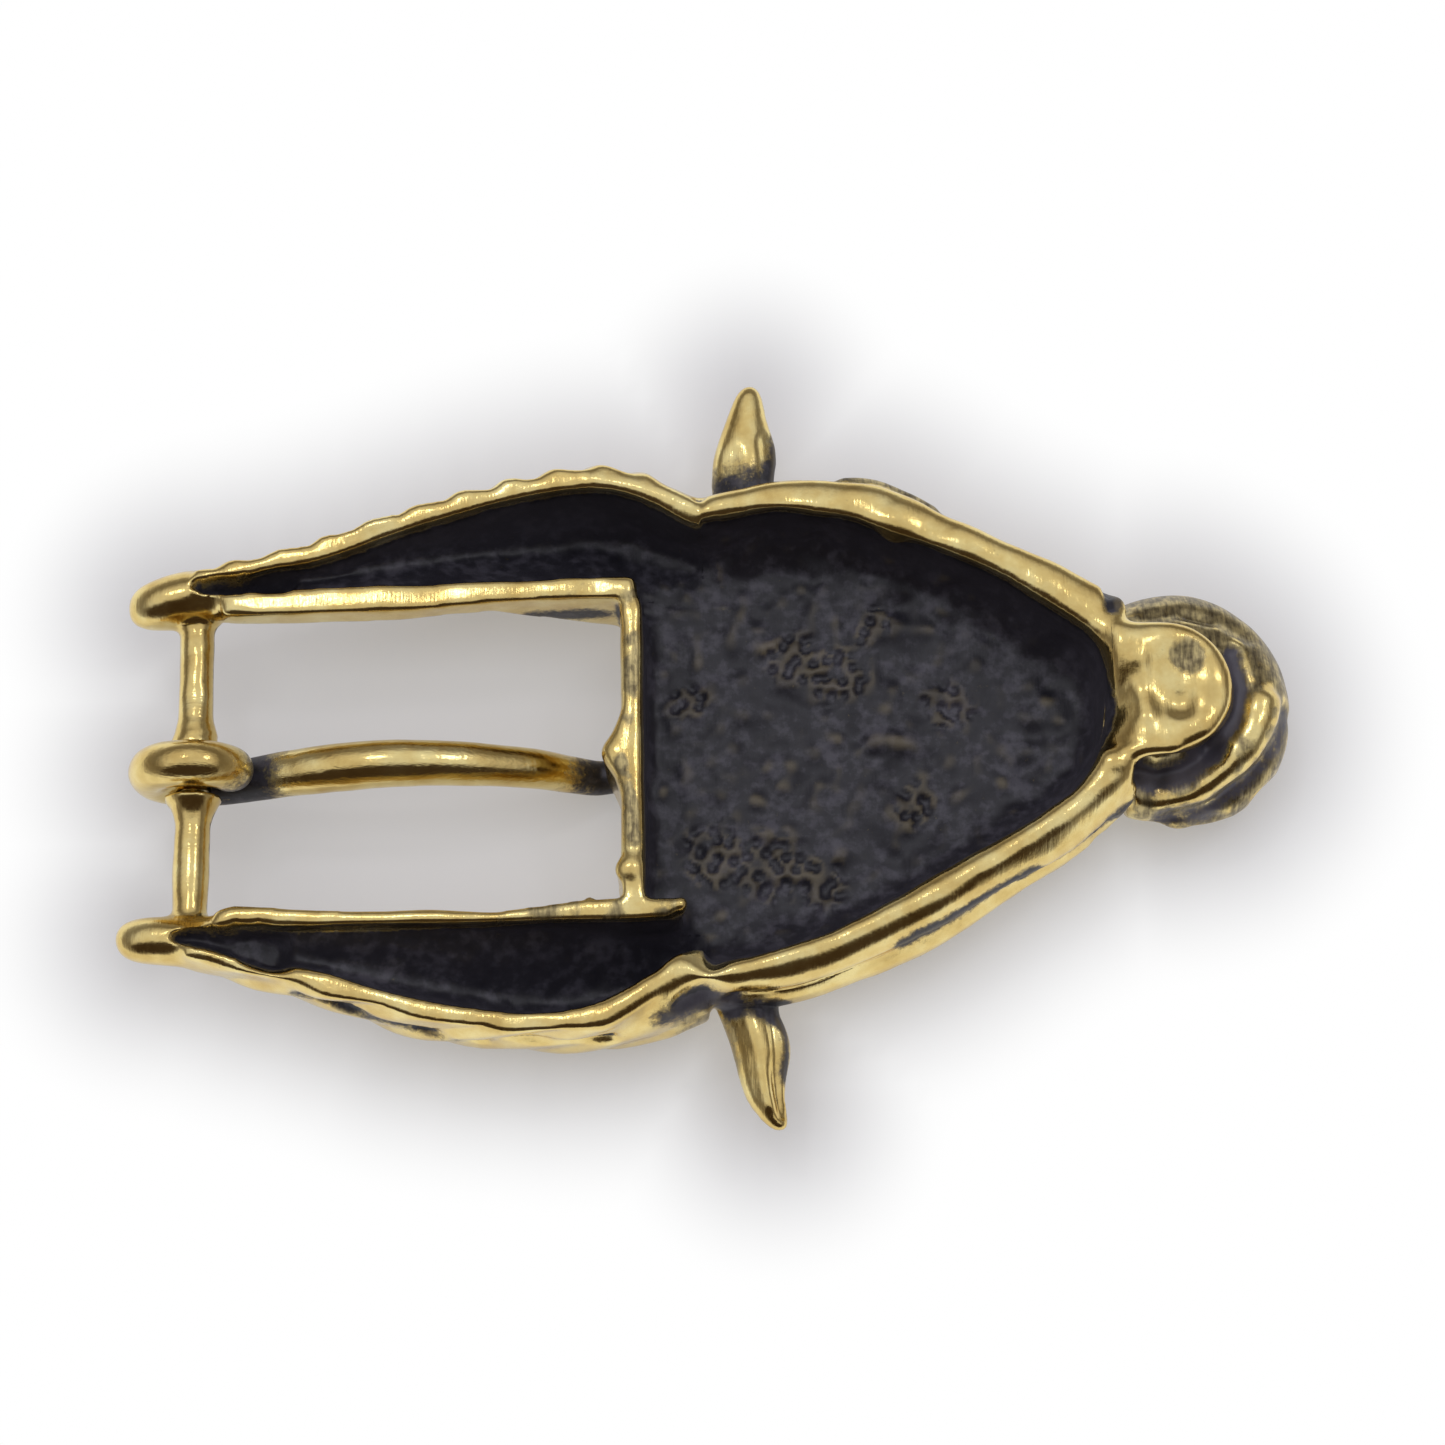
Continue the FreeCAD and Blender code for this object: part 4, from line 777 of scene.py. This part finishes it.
# The casting's pieces: the worked form is cut apart along the seams where the solids meet, so that
# each of them keeps an object of its own. All 13 are one pour of bronze and ride on the buckle.
# Places are in mm along X, and along Y for a top, a bottom, an edge and a side.
HORN_ROOT, CROSS_FACE, MUZZLE_FACE, RAIL_START = -0.536, -6.057, 38.056, -44.488
UPPER_SEAM = ((RAIL_START, 13.829), (HORN_ROOT, 14.901))
LOWER_SEAM = ((RAIL_START, -17.581), (HORN_ROOT, -17.259))
UPPER_SHELL_EDGE, LOWER_SHELL_EDGE = 14.766, -17.30     # at the cross bar's face
CROSS_BACK, CROSS_TOP, CROSS_BOTTOM = -12, 12.55, -15.45
BAR_TOP, BAR_BOTTOM, BAR_LEFT = 11.4, -15.9, -51
UPPER_COLLAR, LOWER_COLLAR = (-0.25, 2.3), (-6.9, -4.35)        # bottom and top
EARS_FROM, EARS_TO, UPPER_EAR_ROOT, LOWER_EAR_ROOT = -0.3, 12, 24.75, -24.4
PAD_START = 36.448
FAR_SIDE, FAR_END = 40, 70
tree = KDTree(wax.count)
for number, spot in enumerate(wax.at * MM):
    tree.insert(spot, number)
tree.balance()


def block(name, outline, low=-3.0, high=20.0):
    """A cutting block: a prism on an outline in plan, in mm."""
    area = sum(x0 * y1 - x1 * y0 for (x0, y0), (x1, y1) in zip(outline, outline[1:] + outline[:1]))
    outline = outline if area > 0 else outline[::-1]
    count = len(outline)
    points = [(px * MM, py * MM, height * MM) for height in (low, high) for px, py in outline]
    faces = [tuple(range(count))[::-1], tuple(range(count, 2 * count))]
    faces += [(i, (i + 1) % count, (i + 1) % count + count, i + count) for i in range(count)]
    mesh = bpy.data.meshes.new(name)
    mesh.from_pydata(points, [], faces)
    cutter = bpy.data.objects.new(name, mesh)
    bpy.context.scene.collection.objects.link(cutter)
    return cutter


def cut_piece(name, keep, *leave_out):
    """The wax inside one block and outside others, as a finished piece of the casting."""
    changes = [("BOOLEAN", dict(object=keep, operation="INTERSECT", solver="MANIFOLD"))]
    changes += [("BOOLEAN", dict(object=other, operation="DIFFERENCE", solver="MANIFOLD"))
                for other in leave_out]
    mesh = finished(wax.mesh, *changes)
    mesh.name = name
    places = np.zeros(len(mesh.vertices) * 3)
    mesh.vertices.foreach_get("co", places)
    nearest = np.array([tree.find(spot)[1] for spot in places.reshape(-1, 3)])
    for title in ("run", "ribbed", "pitted"):
        mesh.attributes.remove(mesh.attributes[title])
    for title, values in (("patina", patina), ("wear", wear), ("dull", dull)):
        keep_number(mesh, title, values[nearest])
    mesh.shade_smooth()
    mesh.set_sharp_from_angle(angle=math.radians(70))
    mesh.materials.clear()
    mesh.materials.append(rod_bronze if name == "hinge_bar" else cast_bronze)
    piece = bpy.data.objects.new(name, mesh)
    bpy.context.scene.collection.objects.link(piece)
    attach(piece, "buckle")
    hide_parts(name)


def box(name, left, bottom, right, top):
    """A cutting block on a rectangle in plan."""
    return block(name, [(left, bottom), (right, bottom), (right, top), (left, top)])


pad_edge = [(PAD_CENTRE[0] + PAD_RADIUS * math.cos(math.radians(a)),
             PAD_CENTRE[1] + PAD_RADIUS * math.sin(math.radians(a))) for a in range(90, -91, -10)]
chin_block = block("cut_chin", [(PAD_START, pad_edge[0][1])] + pad_edge + [(PAD_START, pad_edge[-1][1])],
                   PAD_UNDERSIDE)
upper_ear_block = box("cut_upper_ear", EARS_FROM, UPPER_EAR_ROOT, EARS_TO, FAR_SIDE)
lower_ear_block = box("cut_lower_ear", EARS_FROM, -FAR_SIDE, EARS_TO, LOWER_EAR_ROOT)
upper_collar_block = box("cut_upper_collar", BAR_LEFT, UPPER_COLLAR[0], RAIL_START, UPPER_COLLAR[1])
lower_collar_block = box("cut_lower_collar", BAR_LEFT, LOWER_COLLAR[0], RAIL_START, LOWER_COLLAR[1])
cut_piece("face_shell", block("cut_shell", [
    (CROSS_FACE, LOWER_SHELL_EDGE), LOWER_SEAM[1], (HORN_ROOT, -FAR_SIDE), (MUZZLE_FACE, -FAR_SIDE),
    (MUZZLE_FACE, FAR_SIDE), (HORN_ROOT, FAR_SIDE), UPPER_SEAM[1], (CROSS_FACE, UPPER_SHELL_EDGE)]),
    chin_block, upper_ear_block, lower_ear_block)
cut_piece("muzzle", box("cut_muzzle", MUZZLE_FACE, -FAR_SIDE, FAR_END, FAR_SIDE), chin_block)
cut_piece("chin_pad", chin_block)
cut_piece("upper_ear", upper_ear_block)
cut_piece("lower_ear", lower_ear_block)
cut_piece("upper_horn", block("cut_upper_horn", [
    (-FAR_END, BAR_TOP), (RAIL_START, BAR_TOP), *UPPER_SEAM, (HORN_ROOT, FAR_SIDE), (-FAR_END, FAR_SIDE)]))
cut_piece("lower_horn", block("cut_lower_horn", [
    (-FAR_END, BAR_BOTTOM), (RAIL_START, BAR_BOTTOM), *LOWER_SEAM, (HORN_ROOT, -FAR_SIDE),
    (-FAR_END, -FAR_SIDE)]))
cut_piece("upper_side_rail", block("cut_upper_rail", [
    (RAIL_START, 6), UPPER_SEAM[0], (CROSS_FACE, UPPER_SHELL_EDGE), (CROSS_FACE, CROSS_TOP),
    (CROSS_BACK, CROSS_TOP), (CROSS_BACK, 6)]))
cut_piece("lower_side_rail", block("cut_lower_rail", [
    (RAIL_START, -12), LOWER_SEAM[0], (CROSS_FACE, LOWER_SHELL_EDGE), (CROSS_FACE, CROSS_BOTTOM),
    (CROSS_BACK, CROSS_BOTTOM), (CROSS_BACK, -12)]))
cut_piece("cross_bar", box("cut_cross", CROSS_BACK, CROSS_BOTTOM, CROSS_FACE, CROSS_TOP))
cut_piece("hinge_bar", box("cut_bar", BAR_LEFT, BAR_BOTTOM, RAIL_START, BAR_TOP),
          upper_collar_block, lower_collar_block)
cut_piece("upper_collar", upper_collar_block)
cut_piece("lower_collar", lower_collar_block)
for helper in [thing for thing in bpy.data.objects if thing.name.startswith("cut_")]:
    bpy.data.objects.remove(helper)

# Tongue: one round bronze rod, forged to a bow that thins towards the tip. Its end is curled cold
# round the hinge bar and beaten down onto the shank, so that it turns freely and can't come off.
BAR_X, BAR_Z = -47.007, 11.0        # mm, the hinge bar's middle
EYE_RADIUS = 3.76                   # mm from there to the rod's middle
ROD_RADIUS = 2.1
TONGUE_Y, TONGUE_SWAY = -2.305, 0.0319      # mm at the bar, and mm along Y for each mm along X
# the shaft's middle, in mm: the distance from the bar, the height, and the rod's radius
SHAFT = [(0.0, 7.24, 2.10), (3.8, 7.59, 2.04), (8.4, 9.35, 2.14), (13.9, 10.83, 2.21), (19.3, 11.14, 2.16),
         (25.2, 9.66, 2.00), (30.7, 7.05, 1.85), (33.6, 4.59, 1.72), (36.1, 2.72, 1.64), (37.8, 2.75, 1.55),
         (39.9, 2.85, 1.45), (42.0, 2.96, 1.34)]
# both ends are rounded: shares of the radius, for the run past the end and for the radius left there
ROUND_END = ((0.45, 0.90), (0.75, 0.68), (0.92, 0.40), (0.99, 0.12))
CURL_STEPS = 16
ROD_STEPS, ROD_SIDES = 230, 44
ROD_UNEVENNESS = 0.16               # mm
ROD_GRAIN = 0.17                    # mm between the rod's points
first = math.radians(18)
rod_line = [(BAR_X + EYE_RADIUS * math.cos(first) + math.sin(first) * part * ROD_RADIUS, TONGUE_Y,
             BAR_Z + EYE_RADIUS * math.sin(first) - math.cos(first) * part * ROD_RADIUS, left * ROD_RADIUS)
            for part, left in reversed(ROUND_END)]
for step in range(CURL_STEPS):
    angle = first + (math.radians(270) - first) * step / CURL_STEPS
    rod_line.append((BAR_X + EYE_RADIUS * math.cos(angle), TONGUE_Y,
                     BAR_Z + EYE_RADIUS * math.sin(angle), ROD_RADIUS))
tip, tip_height, tip_radius = SHAFT[-1]
rod_line += [(BAR_X + far, TONGUE_Y + TONGUE_SWAY * far, high, thick)
             for far, high, thick in SHAFT + [(tip + part * tip_radius, tip_height, left * tip_radius)
                                              for part, left in ROUND_END]]

bent_rod, given, rod_inputs = rule("bent_rod", {
    "Steps": "NodeSocketInt", "Sides": "NodeSocketInt", "Unevenness": "NodeSocketFloat",
    "Seed": "NodeSocketFloat"})
curve = node(bent_rod, "GeometryNodeMeshToCurve", {}, {"Mesh": given["Geometry"]}).outputs[0]
curve = node(bent_rod, "GeometryNodeCurveSplineType", {"spline_type": "CATMULL_ROM"},
             {"Curve": curve}).outputs[0]
curve = node(bent_rod, "GeometryNodeResampleCurve", {}, {"Curve": curve, "Count": given["Steps"]}).outputs[0]
thickness = node(bent_rod, "GeometryNodeInputNamedAttribute",
                 {"data_type": "FLOAT", "Name": "thickness"}).outputs[0]
section = node(bent_rod, "GeometryNodeCurvePrimitiveCircle", {"Radius": 1.0},
               {"Resolution": given["Sides"]}).outputs[0]
round_rod = node(bent_rod, "GeometryNodeCurveToMesh", {"Fill Caps": True},
                 {"Curve": curve, "Profile Curve": section, "Scale": thickness}).outputs[0]
# the hammer left it uneven by hundredths of a millimetre, over about 5 mm
uneven = node(bent_rod, "ShaderNodeTexNoise", {"noise_dimensions": "4D", "Scale": 200.0, "Detail": 1.0},
              {"W": given["Seed"]}).outputs["Fac"]
uneven = node(bent_rod, "ShaderNodeMath", {"operation": "SUBTRACT", 1: 0.5}, {0: uneven}).outputs[0]
uneven = node(bent_rod, "ShaderNodeMath", {"operation": "MULTIPLY"},
              {0: uneven, 1: given["Unevenness"]}).outputs[0]
end_rule(bent_rod, round_rod, uneven, rod_bronze)

line_mesh = bpy.data.meshes.new("rod_line")
line_mesh.from_pydata([(px * MM, py * MM, pz * MM) for px, py, pz, _ in rod_line],
                      [(i, i + 1) for i in range(len(rod_line) - 1)], [])
keep_number(line_mesh, "thickness", [thick * MM for _, _, _, thick in rod_line])
rod = Wax(finished(line_mesh, ("NODES", {
    "node_group": bent_rod, rod_inputs["Steps"]: ROD_STEPS, rod_inputs["Sides"]: ROD_SIDES,
    rod_inputs["Unevenness"]: ROD_UNEVENNESS * MM, rod_inputs["Seed"]: 3.0})), ROD_GRAIN)
rod.melt(3)
# the curl's end was beaten down onto the shank
rod.melt(30, ease(rod.at[:, 0], -44.4, -43.0) * (1 - ease(rod.at[:, 0], -38.5, -36.0)))
from_bar = np.hypot(rod.at[:, 0] + 47.0, rod.at[:, 2] - BAR_Z)
rod.swell(ease(from_bar, 2.6, 4.2) * 0.02 * wander(rod.at, 1.6, 12))
# painted shade: the rod is darkened where it comes out from under the eye and at its tip under the cross bar;
# patina stays in its grooves
PAINTED_SHADE_ENDS = [(-43.0, -2.3, 9.0, 7.2, 1.15), (-8.6, -1.6, 5.0, 7.4, 1.1)]
rod_patina_and_shade = ease(rod.hollowness(14), 0.08, 0.30) + rod.near_points(PAINTED_SHADE_ENDS)
rod.write()
rod.mesh.name = "tongue"
keep_number(rod.mesh, "patina", np.clip(rod_patina_and_shade, 0, 1))
keep_number(rod.mesh, "wear", ease(-rod.hollowness(6), 0.01, 0.10))
rod.mesh.shade_smooth()
rod.mesh.materials.clear()
rod.mesh.materials.append(rod_bronze)
tongue = bpy.data.objects.new("tongue", rod.mesh)
bpy.context.scene.collection.objects.link(tongue)
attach(tongue, "tongue")
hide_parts("tongue")

# Studio: the buckle lies face down on a table of matt white paper, under a light tent that is open
# on the near side and two small soft lamps. The camera looks down on it, tilted by 16 degrees.
TABLE_EDGE, GRID_EDGE, GRID_STEP = 3.0, 0.096, 0.002        # m: a grid near the buckle, and a wide margin
lines = np.concatenate([[-TABLE_EDGE], np.arange(-GRID_EDGE, GRID_EDGE + 0.0001, GRID_STEP), [TABLE_EDGE]])
spots = np.array([(px, py, 0.0) for py in lines for px in lines])
across = len(lines)
table_mesh = bpy.data.meshes.new("table")
table_mesh.from_pydata(spots.tolist(), [], [
    (row * across + i, row * across + i + 1, (row + 1) * across + i + 1, (row + 1) * across + i)
    for row in range(across - 1) for i in range(across - 1)])
# how far a spot lies from the buckle, whose height the tilted camera sees as a lean to the far side
LEAN = 0.29                 # mm along Y for each mm of height
SLOT = [(-45.0, 18.0), (-45.0, -16.0), (-7.0, -16.0), (-7.0, 18.0)]
cast = np.concatenate([wax.at, rod.at])[::11] * MM
footprint = KDTree(len(cast))
for number, (px, py, pz) in enumerate(cast):
    footprint.insert((px, py + LEAN * pz, 0), number)
footprint.balance()
away = np.array([footprint.find(spot)[2] for spot in spots]) / MM
keep_number(table_mesh, "away", np.where(inside(spots / MM, SLOT), 0.3 * away, away))
table = bpy.data.objects.new("table", table_mesh)
bpy.context.scene.collection.objects.link(table)
# matt paper: a soft lilac white that takes the shadow, and plain white 16 mm away from the object
paper = bpy.data.materials.new("matt_white_paper")
paper.use_nodes = True
paper.node_tree.nodes.clear()
away = node(paper, "ShaderNodeAttribute", {"attribute_name": "away"}).outputs["Fac"]
fade = node(paper, "ShaderNodeMapRange",
            {"interpolation_type": "SMOOTHSTEP", "From Min": -3.0, "From Max": 16.0, "To Min": 0.25},
            {"Value": away}).outputs[0]
path = node(paper, "ShaderNodeLightPath")
seen = node(paper, "ShaderNodeMath", {"operation": "MAXIMUM"},
            {0: path.outputs["Is Camera Ray"], 1: path.outputs["Is Glossy Ray"]}).outputs[0]
white = node(paper, "ShaderNodeMath", {"operation": "MULTIPLY"}, {0: seen, 1: fade}).outputs[0]
matt = node(paper, "ShaderNodeBsdfDiffuse", {"Color": linear("#E6E5EC")}).outputs[0]
glow = node(paper, "ShaderNodeEmission", {"Color": (1, 1, 1, 1), "Strength": 1.0}).outputs[0]
mixed = node(paper, "ShaderNodeMixShader", {}, {0: white, 1: matt, 2: glow}).outputs[0]
node(paper, "ShaderNodeOutputMaterial", {}, {"Surface": mixed})
table_mesh.materials.append(paper)

world = bpy.data.worlds.new("light_tent")
world.use_nodes = True
world.node_tree.nodes.clear()
bpy.context.scene.world = world
direction = node(world, "ShaderNodeTexCoord").outputs["Generated"]
# the tent's opening on the near side is dark: degrees from straight up, and from its middle
OPENING_TILT, OPENING_DARK, OPENING_EDGE = (math.radians(degrees) for degrees in (52, 28, 40))
OPENING = (0.0, -math.sin(OPENING_TILT), math.cos(OPENING_TILT))
narrowed = node(world, "ShaderNodeVectorMath", {"operation": "MULTIPLY", 1: (0.62, 1.0, 1.0)},
                {0: direction}).outputs[0]
narrowed = node(world, "ShaderNodeVectorMath", {"operation": "NORMALIZE"}, {0: narrowed}).outputs[0]
towards = node(world, "ShaderNodeVectorMath", {"operation": "DOT_PRODUCT", 1: OPENING},
               {0: narrowed}).outputs["Value"]
shade = node(world, "ShaderNodeMapRange",
             {"interpolation_type": "SMOOTHSTEP", "From Min": math.cos(OPENING_EDGE),
              "From Max": math.cos(OPENING_DARK)}, {"Value": towards}).outputs[0]
upwards = node(world, "ShaderNodeSeparateXYZ", {}, {0: direction}).outputs["Z"]
# the tent is greyest half way up and nearly white at its top: the upward share of a look, and the tone
TENT_TONES = ((0.0, "#D2D2D6"), (0.15, "#9A9593"), (0.48, "#7A7471"), (0.74, "#E4E3E7"),
              (0.88, "#F2F2F4"), (1.0, "#E9E9ED"))
tent = node(world, "ShaderNodeValToRGB", {"stops": TENT_TONES}, {"Fac": upwards}).outputs[0]
tent = node(world, "ShaderNodeMix", {"data_type": "RGBA", 7: (0.055, 0.038, 0.026, 1)},
            {"Factor": shade, 6: tent}).outputs[2]
sky = node(world, "ShaderNodeBackground", {"Strength": 0.96}, {"Color": tent}).outputs[0]
node(world, "ShaderNodeOutputWorld", {}, {"Surface": sky})

LAMP_PLACES = ((-0.132, 0.207, 0.6), (0.30, 0.207, 0.6))       # m
LAMP_SIZE, LAMP_POWER = (0.080, 0.060), 0.14                    # m and W
for number, lamp_place in enumerate(LAMP_PLACES):
    lamp = bpy.data.lights.new("softbox_%d" % number, "AREA")
    lamp.shape = "RECTANGLE"
    lamp.size, lamp.size_y = LAMP_SIZE
    lamp.energy = LAMP_POWER
    holder = bpy.data.objects.new(lamp.name, lamp)
    holder.location = lamp_place
    holder.rotation_euler = (-holder.location).to_track_quat("-Z", "Y").to_euler()
    bpy.context.scene.collection.objects.link(holder)

CAMERA_TILT, CAMERA_TURN = math.radians(16), math.radians(-1)
CAMERA_AWAY = 0.289         # m from the place that it looks at
lens = bpy.data.cameras.new("camera")
lens.lens = 80.0
lens.sensor_width = 36.0
camera = bpy.data.objects.new("camera", lens)
camera.rotation_euler = (CAMERA_TILT, 0, CAMERA_TURN)
target = Vector((1.1, 0.53, 15.0)) * MM
camera.location = target + camera.rotation_euler.to_matrix() @ Vector((0, 0, CAMERA_AWAY))
bpy.context.scene.collection.objects.link(camera)
bpy.context.scene.camera = camera
bpy.context.scene.view_settings.view_transform = "Standard"
